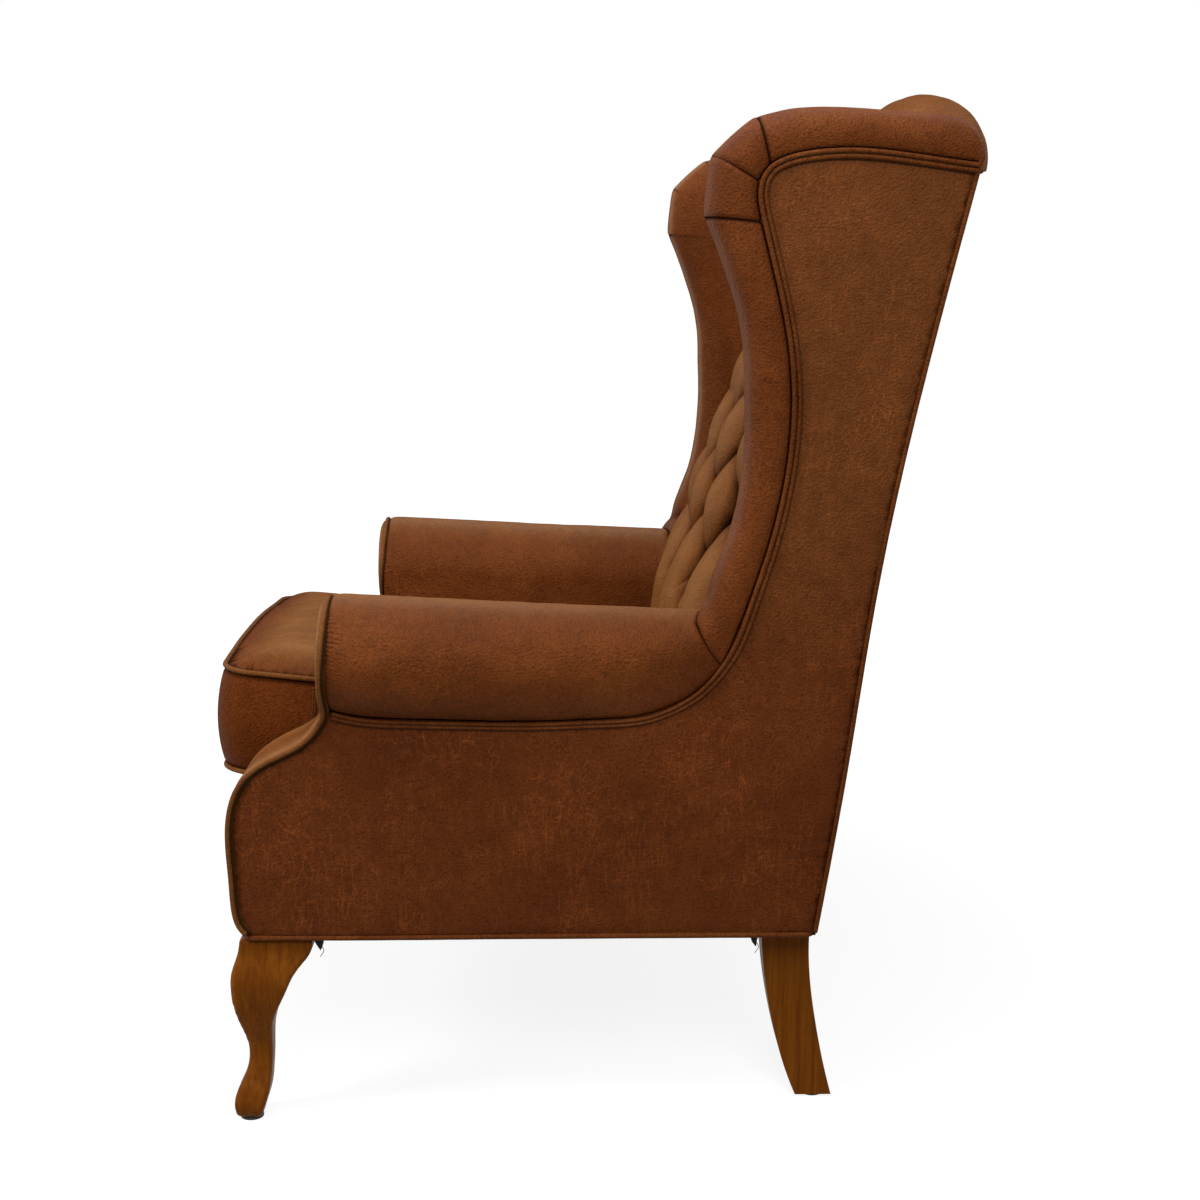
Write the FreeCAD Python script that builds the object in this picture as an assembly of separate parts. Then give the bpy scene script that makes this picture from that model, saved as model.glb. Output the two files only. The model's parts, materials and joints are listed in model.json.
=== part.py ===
import FreeCAD, Part
import math
import os

# Upholstered wing armchair, in millimetres.
# X runs across the chair, the sitter faces -Y, and Z is up from the floor.
# Side pieces are drawn for the +X side and mirrored for the other.

Vector = FreeCAD.Vector

# ---- Layers across the chair ----
inside_arm_x = 258.0     # from the chair's middle to the arm's face beside the cushion
roll_radius = 72.0       # of the rolled arm
roll_overhang = 27.0     # how far the roll stands out past the flat outside panel
panel_thick = 4.0        # leather over board
frame_thick = 32.0       # side frame boards
wing_thick = 79.0
wing_overhang = 6.0      # how far the wing's roll stands out past the panel

# ---- Base and legs ----
base_z = 220.0           # underside of the seat rails
base_front_y = -400.0    # front face of the base
rail_thick = 28.0
border_thick = 25.0      # padded leather border under the cushion
border_drop = 8.0        # from the deck's front edge down to the border's top
base_inset = 10.0        # from the front of the base back to its lower piping
side_rail_height = 80.0
dust_cover_thick = 1.0
piping_size = 7.0
glide_thick = 3.0
glide_radius = 13.0

# ---- Arm ----
arm_front_y = -282.0     # plane where the rolled arm meets its facing
arm_crown_z = 598.0      # top of the roll at its front
arm_fall = 20.0          # how far the roll drops over its length
seam_drop = 12.9         # from the neck of the scroll down to the seam under the roll
neck_forward = 6.0       # how far the neck of the scroll stands in front of the roll
facing_thick = 15.0
facing_width = 100.0
facing_piping = 8.0
stump_width = 55.0
arm_rail_height = 45.0
welt_width = 11.0
welt_height = 4.0
welt_gap = 0.8
wing_hole_radius = 42.0

# ---- Wing and back ----
wing_edge_radius = 30.0  # rounding of the wing's front and top edges
wing_top_z = 1116.0
wing_over_back = 58.0    # the wing's top above the top edge of the outside back
wing_set_back = 68.0     # the wing's front behind the foot of the inside back
back_gap = 11.7          # between the cushion and the foot of the inside back
back_thick = 184.0       # from the foot of the inside back to the foot of the outside back
back_rake = 154.0        # how far the outside back leans over its height
back_top_thick = 100.0
edge_piping = 5.0        # cord down the rear edges and under the crest
post_width = 45.0
back_rail_thick = 30.0
lower_rail_height = 70.0
lower_rail_lift = 120.0  # above the rear seat rail
crest_rail_height = 90.0
webbing_thick = 1.5
webbing_width = 50.0
webbing_count = 4        # strips each way
webbing_pitch = 120.0    # across the chair
webbing_margin = 60.0    # clear of the crest rail's top and of the strips' ends
crest_over_wing = 46.0   # the crest's top above the wing's
crest_radius = 58.0
crest_rise = 30.0        # how far the crest arches up between the wings
crest_reach = 20.0       # how far the crest stands out behind the top of the outside back
crest_count = 6
crest_overrun = 1.1      # how far past the wings its arch is drawn before it is cut

# ---- Seat ----
seat_pitch = 6.0         # the deck and cushion fall to the back by this angle, in degrees
deck_front_z = 372.0     # top of the deck at the cushion's front edge
deck_thick = 12.0
cushion_front_y = -429.0
cushion_length = 490.0
cushion_clearance = 8.0  # to the arm on each side
cushion_height = 126.0   # boxing, from piping to piping
cushion_crown = 14.0
cushion_corner = 26.0
zip_margin = 70.0        # from the zip's ends to the cushion's sides
zip_width = 12.0
spring_wire = 3.5
spring_count = 5
spring_bends = 20
spring_width = 46.0
clip_thick = 2.0
clip_width = 16.0
clip_length = 24.0
spring_end_gap = 2.0     # from the front rail's face to the springs' ends
spring_rear_gap = 8.0    # from the outside back's board to the springs' ends
seat_gap = 0.3           # the loose cushion's clearance from the deck
slab_clearance = 10.0    # between the corner blocks and the padded inside of the arm

# ---- Buttons ----
button_radius = 12.0
button_depth = 7.0
button_gap = 0.3
button_column = 140.0    # across one diamond
button_first_z = 600.0
button_rows = 6
button_headroom = 172.0  # from the last row up to the crest's top

roll_x = inside_arm_x + roll_radius
panel_x = roll_x + roll_radius - roll_overhang
wing_outside_x = panel_x + wing_overhang
wing_inside_x = wing_outside_x - wing_thick
neck_reach = panel_x + facing_piping / 4 - roll_x
neck_drop = math.sqrt((roll_radius - facing_piping / 2) ** 2 - neck_reach ** 2)
arm_seam_z = arm_crown_z - roll_radius - neck_drop - seam_drop
back_top_z = wing_top_z - wing_over_back
crest_top_z = wing_top_z + crest_over_wing
button_row = (crest_top_z - button_headroom - button_first_z) / (button_rows - 1)
back_foot_y = cushion_front_y + cushion_length * math.cos(math.radians(seat_pitch)) + back_gap
rear_foot_y = back_foot_y + back_thick
rear_top_y = rear_foot_y + back_rake
wing_front_y = back_foot_y + wing_set_back
arm_length = wing_front_y - arm_front_y
frame_x = panel_x - panel_thick
frame_inside_x = frame_x - frame_thick
far = 2000.0             # beyond every piece, for cutting tools


def at(y, z):
    return Vector(0, y, z)


def curve(points):
    spline = Part.BSplineCurve()
    spline.interpolate([at(*point) for point in points])
    return spline


def shifted(points, dy, dz=0.0):
    return [(y + dy, z + dz) for y, z in points]


def side_face(edges):
    """A flat face in the plane X = 0 from curves and lines in any order."""
    ordered = Part.sortEdges(edges)[0]
    return Part.Face(Part.Wire(ordered))


def segment(start, end):
    return Part.LineSegment(at(*start), at(*end)).toShape()


def across(face, x0, x1):
    """Extrude a side face from one X to another."""
    moved = face.copy()
    moved.translate(Vector(x0, 0, 0))
    return moved.extrude(Vector(x1 - x0, 0, 0))


def block(x0, x1, y0, y1, z0, z1):
    return Part.makeBox(x1 - x0, y1 - y0, z1 - z0, Vector(x0, y0, z0))


def strip_between(first, second):
    """A face between two curves that run the same way."""
    edges = [curve(first).toShape(), curve(second).toShape()]
    edges += [segment(first[0], second[0]), segment(first[-1], second[-1])]
    return side_face(edges)


def strip(points, front, rear):
    """A face between a curve moved by two distances along Y."""
    return strip_between(shifted(points, front), shifted(points, rear))


def mirrored(shape):
    return shape.mirror(Vector(0, 0, 0), Vector(1, 0, 0))


def both(shape):
    return [shape, mirrored(shape)]


# ---- Side-view outlines ----

def placed(shares, start, end):
    """Outline points from their shares of the way between two corners, along Y and up Z."""
    depth = end[0] - start[0]
    height = end[1] - start[1]
    return [(start[0] + depth * along, start[1] + height * up) for along, up in shares]


def front_points():
    """The S-curve down the front of the arm and base, from the neck of the scroll."""
    shares = [(1, 1.057), (0.75, 0.898), (0.304, 0.787), (0.08, 0.676), (0, 0.414), (0.036, 0.119),
              (0.152, 0)]
    return placed(shares, (base_front_y, base_z), (arm_front_y - neck_forward, arm_seam_z))


def rear_points():
    """The raked rear edge, from the base to the top of the outside back."""
    shares = [(0, 0), (0.2, 0.236), (0.364, 0.452), (0.597, 0.683), (1, 1)]
    return placed(shares, (rear_foot_y, base_z), (rear_top_y, back_top_z))


def wing_seam_points():
    """The seam between the outside panel and the roll, from the arm round to the back."""
    arm = [(0.171, 2), (0.529, -1), (0.824, 7), (0.998, 54)]
    points = front_points()[:1] + [(arm_front_y + arm_length * along, arm_seam_z + up) for along, up in arm]
    wing = [(0.174, 0.274), (0.281, 0.515), (0.26, 0.705), (0.156, 0.902), (0.181, 0.993), (0.444, 1.027),
            (1, 1)]
    return points + placed(wing, (wing_front_y, arm_seam_z), (rear_top_y, back_top_z))


def wing_corners():
    """The wing's edge, up its front, round its two mitres and back along its top."""
    shares = [(-0.096, 0.117), (0.074, 0.362), (0.1, 0.58), (-0.041, 0.833), (-0.015, 0.925), (0.156, 0.989),
              (0.5, 1.003), (1.019, 0.974)]
    return placed(shares, (wing_front_y, arm_seam_z), (rear_top_y, wing_top_z))


def back_front_points():
    """The face of the inside back at the middle of the chair."""
    shares = [(0, 0), (0.076, 0.276), (0.508, 0.641), (1, 1)]
    top = (rear_top_y - back_top_thick, crest_top_z - crest_radius)
    return placed(shares, (back_foot_y, base_z + side_rail_height), top)


facing_step = (facing_thick, -0.5 * facing_thick)


def behind_facing():
    return shifted(front_points(), *facing_step)


def panel_outline(x0, x1):
    """A slab with the outline of the outside panel, which the side frame shares."""
    front = behind_facing()
    seam = wing_seam_points()
    seam[0] = front[0]
    rear = rear_points()
    edges = [curve(front).toShape(), curve(seam).toShape(), curve(rear).toShape()]
    edges.append(segment(front[-1], rear[0]))
    above_base = block(-far, far, -far, far, base_z, far)
    return across(side_face(edges), x0, x1).common(above_base)


def behind_back(depth):
    """Everything further back than a depth in front of the outside back."""
    points = shifted(rear_points(), -depth)
    lean = 0.2
    low = (points[0][0], -far)
    high = (points[-1][0] + (far - points[-1][1]) * lean, far)
    edges = [curve(points).toShape(), segment(low, points[0]), segment(points[-1], high)]
    edges += [segment(high, (far, far)), segment((far, far), (far, -far)), segment((far, -far), low)]
    return across(side_face(edges), -far, far)


def deck_z(y):
    """Height of the deck's top."""
    return deck_front_z - (y - cushion_front_y) * math.tan(math.radians(seat_pitch))


def rear_y(z):
    """Place of the outside back's face at a height."""
    edge = curve(rear_points())
    hit = edge.intersect(Part.LineSegment(at(-far, z), at(far, z)))
    return hit[0].Y


def back_y(z):
    """Place of the inside back's face at a height."""
    hit = curve(back_front_points()).intersect(Part.LineSegment(at(-far, z), at(far, z)))
    return hit[0].Y


# ---- Side frame: boards that lie in one plane behind the outside panel ----

def side_frame():
    outline = panel_outline(frame_inside_x, frame_x)
    front = behind_facing()
    stump = across(strip(front, 0, stump_width), frame_inside_x, frame_x).common(outline)
    post = across(strip(rear_points(), -panel_thick - post_width, -panel_thick), frame_inside_x, frame_x)
    post = post.common(outline)
    hole_y, hole_z = placed([(0.46, 0.735)], (wing_front_y, arm_seam_z), (rear_top_y, back_top_z))[0]
    hole = Part.makeCylinder(wing_hole_radius, far, Vector(0, hole_y, hole_z), Vector(1, 0, 0))
    infill = outline.cut(stump).cut(hole).cut(behind_back(panel_thick + post_width))
    rail_top = arm_seam_z - 3
    side_rail = infill.common(block(0, far, -far, far, base_z, base_z + side_rail_height))
    arm_rail = infill.common(block(0, far, -far, far, rail_top - arm_rail_height, rail_top))
    wing = infill.common(block(0, far, -far, far, rail_top, far))
    return {
        "arm_stump": stump,
        "back_post": post,
        "side_seat_rail": side_rail,
        "arm_rail": arm_rail,
        "wing_board": wing,
    }


# ---- Legs ----

leg_top_z = base_z - piping_size

# Each leg section is its height, its middle's distance in from the base's corner, and its size.
front_leg_sections = [
    (leg_top_z, 48, 82),
    (198, 47, 82),
    (176, 35, 72),
    (150, 28, 60),
    (118, 24, 40),
    (80, 27, 27),
    (52, 24, 30),
    (28, 17, 37),
    (11, 14, 32),
    (glide_thick, 15, 27),
]
rear_leg_sections = [
    (leg_top_z, 29, 56),
    (150, 26, 52),
    (93, 17, 50),
    (45, 6, 47),
    (glide_thick, -7, 42),
]
rear_leg_inset = 65.0    # from the panel in to the leg's middle
rear_leg_x = panel_x - rear_leg_inset
rear_leg_thick = 40.0
rear_leg_taper = 0.8     # its thickness at the floor, as a share of the top's
leg_bolt_radius = 4.0
leg_bolt_inset = 12.0
rear_screw_radius = 3.0
rear_screw_spacing = 24.0
rear_screw_inset = 6.0   # from the rear corner block's front edge of wood to the screws' line
bolt_depth = 50.0        # into the front leg
bolt_above_block = 8.0
screw_depth = 45.0       # into the rear leg
screw_above_block = 3.0
nut_radius = 11.0
nut_thick = 2.0
plinth_gap = 1.0


def leg_outline(sections, corner_y, outward):
    """A leg from the side: sections are measured from the base's corner, towards its middle."""
    near = [(corner_y + outward * (size / 2 - inset), z) for z, inset, size in sections]
    away = [(corner_y - outward * (size / 2 + inset), z) for z, inset, size in sections]
    return strip_between(near, away)


def front_leg():
    """A cabriole leg, sawn to one outline from two sides of a square blank."""
    outline = leg_outline(front_leg_sections, base_front_y, -1)
    turned = outline.copy()
    turned.rotate(Vector(0, 0, 0), Vector(0, 0, 1), 90)
    turned.translate(Vector(panel_x + base_front_y, -far, 0))
    sawn = across(outline, 0, far).common(turned.extrude(Vector(0, 2 * far, 0)))
    return sawn.fuse(leg_plinth(front_leg_sections[0]))


def leg_plinth(section):
    """The raised pad on the leg's top that fits inside the base's piping."""
    z, inset, size = section
    half = size / 2 - piping_size
    x = panel_x - inset - piping_size / 2
    y = base_front_y + inset + 2 * piping_size
    return block(x - half, x + half, y - half, y + half, z, base_z - dust_cover_thick)


def rear_leg():
    """A leg that sweeps backwards to the floor and narrows towards its foot."""
    half = rear_leg_thick / 2
    foot = half * rear_leg_taper
    sweep = across(leg_outline(rear_leg_sections, rear_foot_y, 1), rear_leg_x - half, rear_leg_x + half)
    front_view = [(-foot, glide_thick), (foot, glide_thick), (half, leg_top_z), (-half, leg_top_z)]
    corners = [Vector(rear_leg_x + x, -far, z) for x, z in front_view]
    taper = Part.Face(Part.makePolygon(corners + corners[:1])).extrude(Vector(0, 2 * far, 0))
    y = rear_foot_y - rear_leg_sections[0][1] - rear_leg_sections[0][2] / 2
    plinth = block(rear_leg_x - half, rear_leg_x + half, y, rear_foot_y - piping_size - plinth_gap,
                   leg_top_z, base_z - dust_cover_thick)
    return sweep.common(taper).fuse(plinth)


def front_foot():
    z, inset, size = front_leg_sections[-1]
    return panel_x - inset, base_front_y + inset


def rear_foot():
    return rear_leg_x, rear_foot_y - rear_leg_sections[-1][1]


def upright(x, y, radius, z0, z1):
    return Part.makeCylinder(radius, z1 - z0, Vector(x, y, z0))


def front_bolt_place():
    inset = front_leg_sections[0][1] + leg_bolt_inset
    return panel_x - inset, base_front_y + border_thick + rail_thick + leg_bolt_inset


def rear_screw_places():
    middle = rear_foot_y - panel_thick - back_rail_thick - rear_screw_spacing / 2 - rear_screw_inset
    return [(rear_leg_x + side * rear_screw_spacing / 2, middle) for side in (-1, 1)]


# ---- Cross frame ----

corner_block_height = 42.0
corner_block_side = 96.0


def front_rail_rear_y():
    return base_front_y + border_thick + rail_thick


def clip_bottom_z(y):
    """Height of the underside of the spring clips, which lie along the pitched deck."""
    stack = deck_thick + spring_wire + clip_thick
    return deck_z(y) - stack / math.cos(math.radians(seat_pitch))


def front_rail():
    y = base_front_y + border_thick
    top = clip_bottom_z(y + rail_thick)
    return block(-frame_inside_x, frame_inside_x, y, y + rail_thick, base_z, top)


def rear_band(front, rear):
    """A full-width band that follows the raked back, between two depths."""
    return across(strip(rear_points(), -rear, -front), -frame_inside_x, frame_inside_x)


def rear_rail_top():
    return clip_bottom_z(spring_run()[1])


def back_rail(z0, z1):
    zone = block(-far, far, -far, far, z0, z1)
    return rear_band(panel_thick, panel_thick + back_rail_thick).common(zone)


def arched_disc():
    """Everything below the arch that the crest follows."""
    radius = (wing_inside_x ** 2 + crest_rise ** 2) / (2 * crest_rise)
    top = crest_top_z - crest_radius
    return Part.makeCylinder(radius, far, Vector(0, -far / 2, top - radius), Vector(0, 1, 0))


def crest_rail():
    rail = rear_band(panel_thick, panel_thick + back_rail_thick)
    zone = block(-far, far, -far, far, back_top_z - crest_rail_height, back_top_z)
    return rail.common(zone)


def corner_block(y_corner, toward):
    x = frame_inside_x
    z = base_z
    corner = Vector(x, y_corner, z)
    along_x = Vector(x - corner_block_side, y_corner, z)
    along_y = Vector(x, y_corner + toward * corner_block_side, z)
    wire = Part.makePolygon([corner, along_x, along_y, corner])
    return Part.Face(wire).extrude(Vector(0, 0, corner_block_height))


# ---- Suspension ----

def ribbon(points, width, thick):
    """A bent wire of square section, flat in the XY plane, along a line of points."""
    left = []
    right = []
    for index, point in enumerate(points):
        before = points[max(index - 1, 0)]
        after = points[min(index + 1, len(points) - 1)]
        first = (point - before) if index else (after - point)
        second = (after - point) if index < len(points) - 1 else first
        first = Vector(first).normalize()
        second = Vector(second).normalize()
        normal = Vector(-first.y - second.y, first.x + second.x, 0).normalize()
        reach = width / 2 / normal.dot(Vector(-first.y, first.x, 0))
        left.append(point + normal * reach)
        right.append(point - normal * reach)
    outline = left + right[::-1] + left[:1]
    return Part.Face(Part.makePolygon(outline)).extrude(Vector(0, 0, thick))


def zigzag_spring(x, y0, y1):
    """One flat zig-zag wire along Y."""
    lead = 34.0
    pitch = (y1 - y0 - 2 * lead) / spring_bends
    points = [Vector(x, y0, 0), Vector(x, y0 + lead - pitch / 2, 0)]
    for bend in range(spring_bends):
        side = 1 if bend % 2 else -1
        start = y0 + lead + bend * pitch
        points.append(Vector(x + side * spring_width / 2, start + pitch * 0.1, 0))
        points.append(Vector(x + side * spring_width / 2, start + pitch * 0.6, 0))
    points.append(Vector(x, y1 - lead + pitch / 2, 0))
    points.append(Vector(x, y1, 0))
    return ribbon(points, spring_wire, spring_wire)


def pitched(shape, y, lift=0.0):
    """Tilt a level shape so that its zero height lies on the deck, from a given Y backwards."""
    moved = shape.copy()
    moved.rotate(Vector(0, 0, 0), Vector(1, 0, 0), -seat_pitch)
    moved.translate(Vector(0, y, deck_z(y) + lift))
    return moved


def spring_places():
    pitch = 2 * inside_arm_x / (spring_count + 1)
    return [(index + 1) * pitch - inside_arm_x for index in range(spring_count)]


def spring_run():
    """Start, end and length of the springs, from the front rail to the rear rail."""
    start = base_front_y + border_thick + spring_end_gap
    end = rear_y(base_z) - panel_thick - spring_rear_gap
    return start, end, (end - start) / math.cos(math.radians(seat_pitch))


def seat_springs():
    start, end, length = spring_run()
    shapes = [zigzag_spring(x, 0, length) for x in spring_places()]
    for shape in shapes:
        shape.translate(Vector(0, 0, -deck_thick - spring_wire))
    return [pitched(shape, start) for shape in shapes]


def spring_clips():
    start, end, length = spring_run()
    top = -deck_thick - spring_wire
    clips = []
    for x in spring_places():
        for place in (0, length - clip_length):
            low_x = x - clip_width / 2
            clip = block(low_x, low_x + clip_width, place, place + clip_length, top - clip_thick, top)
            clips.append(pitched(clip, start))
    return clips


def seat_deck(back_zone):
    start = base_front_y + border_thick
    deck = block(-inside_arm_x, inside_arm_x, -deck_thick, far, -deck_thick, 0)
    front = block(-far, far, -far, start, -far, far)
    return pitched(deck, start).cut(front).cut(back_zone)


def below_deck():
    return pitched(block(-far, far, -far, far, -far, 0), 0)


def back_webbing():
    low = rear_rail_top() + lower_rail_lift + webbing_width
    high = back_top_z - webbing_margin
    depth = panel_thick + back_rail_thick
    strips = []
    for step in range(webbing_count):
        x = (step - (webbing_count - 1) / 2) * webbing_pitch
        zone = block(x - webbing_width / 2, x + webbing_width / 2, -far, far, low, high)
        strips.append(rear_band(depth, depth + webbing_thick).common(zone))
    pitch = (high - low - 2 * webbing_margin) / (webbing_count - 1)
    for step in range(webbing_count):
        z = low + webbing_margin + step * pitch - webbing_width / 2
        zone = block(-frame_inside_x, frame_inside_x, -far, far, z, z + webbing_width)
        strips.append(rear_band(depth + webbing_thick, depth + 2 * webbing_thick).common(zone))
    whole = strips[0]
    return whole.fuse(strips[1:])


# ---- Upholstery ----

def arm_roll():
    """The rolled arm, which drops a little towards the back."""
    lead = Vector(0, arm_length, -arm_fall)
    start = Vector(roll_x, arm_front_y, arm_crown_z - roll_radius) - lead
    roll = Part.makeCylinder(roll_radius, far, start, lead)
    return roll.common(block(-far, far, arm_front_y, 2 * far, -far, far))


def roll_z(y):
    """Height of the roll's middle."""
    return arm_crown_z - roll_radius - (y - arm_front_y) * arm_fall / arm_length


def arm_slab():
    """The padded inside of the arm, from the deck up into the roll."""
    front = behind_facing()
    low = front[-1]
    top = (front[0][0], roll_z(front[0][0]))
    top_rear = (far, roll_z(far))
    low_rear = (far, low[1])
    edges = [curve(front).toShape(), segment(front[0], top), segment(top, top_rear)]
    edges += [segment(top_rear, low_rear), segment(low_rear, low)]
    return across(side_face(edges), inside_arm_x, frame_inside_x)


def wing_outline():
    corners = wing_corners()
    low = arm_seam_z + wing_edge_radius
    behind = corners[-1][0] + 2 * wing_edge_radius
    outline = corners + [(behind, low), (corners[0][0], low)]
    points = [at(*corner) for corner in outline]
    return Part.Face(Part.makePolygon(points + points[:1]))


def rounded_wing():
    """The wing's full block with its front and top edges rounded."""
    wing = across(wing_outline(), wing_inside_x, wing_outside_x)
    rounded = []
    for edge in wing.Edges:
        middle = edge.valueAt((edge.FirstParameter + edge.LastParameter) / 2)
        runs_round = edge.BoundBox.XLength < 1
        if runs_round and middle.z > arm_seam_z + 2 * wing_edge_radius and middle.y < wing_corners()[-1][0]:
            rounded.append(edge)
    return wing.makeFillet(wing_edge_radius, rounded)


def behind_wing():
    """What the wing's roll may not pass at the back."""
    return behind_back(-edge_piping)


def crest():
    """The arched roll on top of the back, in straight lengths that meet at mitres."""
    y = rear_y(back_top_z) + crest_reach - crest_radius
    bend = (wing_inside_x ** 2 + crest_rise ** 2) / (2 * crest_rise)
    centre = Vector(0, y, crest_top_z - crest_radius - bend)
    reach = math.asin(wing_inside_x / bend) * crest_overrun
    turns = [reach * (2 * step / crest_count - 1) for step in range(crest_count + 1)]
    ends = [Vector(bend * math.sin(turn), 0, bend * math.cos(turn)) for turn in turns]
    lengths = []
    for start, end in zip(ends, ends[1:]):
        lead = end - start
        roll = Part.makeCylinder(crest_radius, 3 * lead.Length, centre + start - lead, lead)
        wedge = Part.Face(Part.makePolygon([centre, centre + start * 2, centre + end * 2, centre]))
        wedge.translate(Vector(0, -far, 0))
        lengths.append(roll.common(wedge.extrude(Vector(0, 2 * far, 0))))
    zone = block(-wing_inside_x, wing_inside_x, -far, far, back_top_z, far)
    return lengths[0].fuse(lengths[1:]).common(zone)


def back_pad():
    points = back_front_points()
    crest_y = rear_y(back_top_z) + crest_reach - crest_radius
    top = (crest_y, points[-1][1])
    low = (crest_y, points[0][1])
    edges = [curve(points).toShape(), segment(points[-1], top), segment(top, low), segment(low, points[0])]
    return across(side_face(edges), -wing_inside_x, wing_inside_x)


def facing():
    band = strip_between(front_points(), behind_facing())
    lower = across(band, panel_x - facing_width, panel_x)
    centre = Vector(roll_x, arm_front_y - facing_thick, arm_crown_z - roll_radius)
    disc = Part.makeCylinder(roll_radius - facing_piping, facing_thick, centre, Vector(0, 1, 0))
    zone = block(-far, far, -far, far, base_z, far)
    return lower.fuse(disc).common(zone).removeSplitter()


def facing_pipe():
    """The cord round the scroll and down both edges of the facing."""
    centre = Vector(roll_x, arm_front_y - facing_thick, arm_crown_z - roll_radius)
    outer = Part.makeCylinder(roll_radius, facing_thick, centre, Vector(0, 1, 0))
    inner = Part.makeCylinder(roll_radius - facing_piping, facing_thick, centre, Vector(0, 1, 0))
    ring = outer.cut(inner)
    band = strip_between(front_points(), shifted(front_points(), facing_piping))
    edge = across(band, panel_x, panel_x + facing_piping / 2)
    return ring.cut(across(strip_between(front_points(), behind_facing()), -far, panel_x)).fuse(edge)


def double_welt():
    """The raised double cord on the seam, from the arm round the wing to the back."""
    points = wing_seam_points()
    points[0] = (points[0][0] + facing_thick, points[0][1] - facing_thick / 2)
    points[-1] = (points[-1][0] - welt_width - 1, points[-1][1])
    path = curve(points)
    start = path.value(path.FirstParameter)
    tangent = path.tangent(path.FirstParameter)[0]
    inward = Vector(0, tangent.z, -tangent.y)
    start += inward * welt_gap
    outward = Vector(1, 0, 0)
    cord = welt_width / 2
    section = [(0, 0), (0, 0.6), (0.3, 1), (0.7, 1), (1, 0.4), (1.3, 1), (1.7, 1), (2, 0.6), (2, 0)]
    places = []
    for width, height in section:
        offset = inward * (width * cord) + outward * (height * welt_height)
        places.append(start + Vector(panel_x, 0, 0) + offset)
    profile = Part.makePolygon(places + places[:1])
    spine = Part.Wire([path.toShape()])
    spine.translate(Vector(panel_x, 0, 0))
    return spine.makePipeShell([profile], True, False)


def buttons():
    """Covered buttons at the corners of the diamonds, square to the face of the back."""
    shapes = []
    for row in range(button_rows):
        z = button_first_z + row * button_row
        count = 4 if row % 2 else 3
        slope = math.atan2(back_y(z + 10) - back_y(z - 10), 20)
        axis = Vector(0, -math.cos(slope), math.sin(slope))
        for column in range(count):
            x = (column - (count - 1) / 2) * button_column
            place = Vector(x, back_y(z), z) + axis * button_gap
            shapes.append(Part.makeCylinder(button_radius, button_depth, place, axis))
    return shapes


def rounded_box(x, y0, y1, z0, z1, corner):
    box = block(-x, x, y0, y1, z0, z1)
    uprights = [edge for edge in box.Edges if abs(edge.Vertexes[0].Z - edge.Vertexes[1].Z) > 1]
    return box.makeFillet(corner, uprights)


def cushion_pieces():
    """The loose cushion and its two pipings, tilted with the deck."""
    half = inside_arm_x - cushion_clearance
    pipe = piping_size / 2
    inset = pipe
    top = cushion_height + cushion_crown
    core = rounded_box(half - inset, inset, cushion_length - inset, 0, top, cushion_corner)
    bend = (half ** 2 + cushion_crown ** 2) / (2 * cushion_crown)
    dome = Part.makeCylinder(bend, far, Vector(0, -far / 2, top - bend), Vector(0, 1, 0))
    core = core.common(dome)
    outer = rounded_box(half, 0, cushion_length, -pipe, pipe, cushion_corner)
    ring = outer.cut(rounded_box(half - inset, inset, cushion_length - inset, -far, far, cushion_corner))
    low = ring.copy()
    low.translate(Vector(0, 0, pipe))
    high = ring.copy()
    high.translate(Vector(0, 0, cushion_height - pipe))
    zip_x = half - zip_margin
    zip_z = cushion_height / 2 - zip_width / 2
    zip_tape = block(-zip_x, zip_x, cushion_length - inset, cushion_length, zip_z, zip_z + zip_width)
    lift = seat_gap / math.cos(math.radians(seat_pitch))
    pieces = {
        "cushion": core,
        "cushion_piping_bottom": low,
        "cushion_piping_top": high,
        "cushion_zip": zip_tape,
    }
    return {name: pitched(shape, cushion_front_y, lift) for name, shape in pieces.items()}


# ---- Assembly ----

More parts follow.
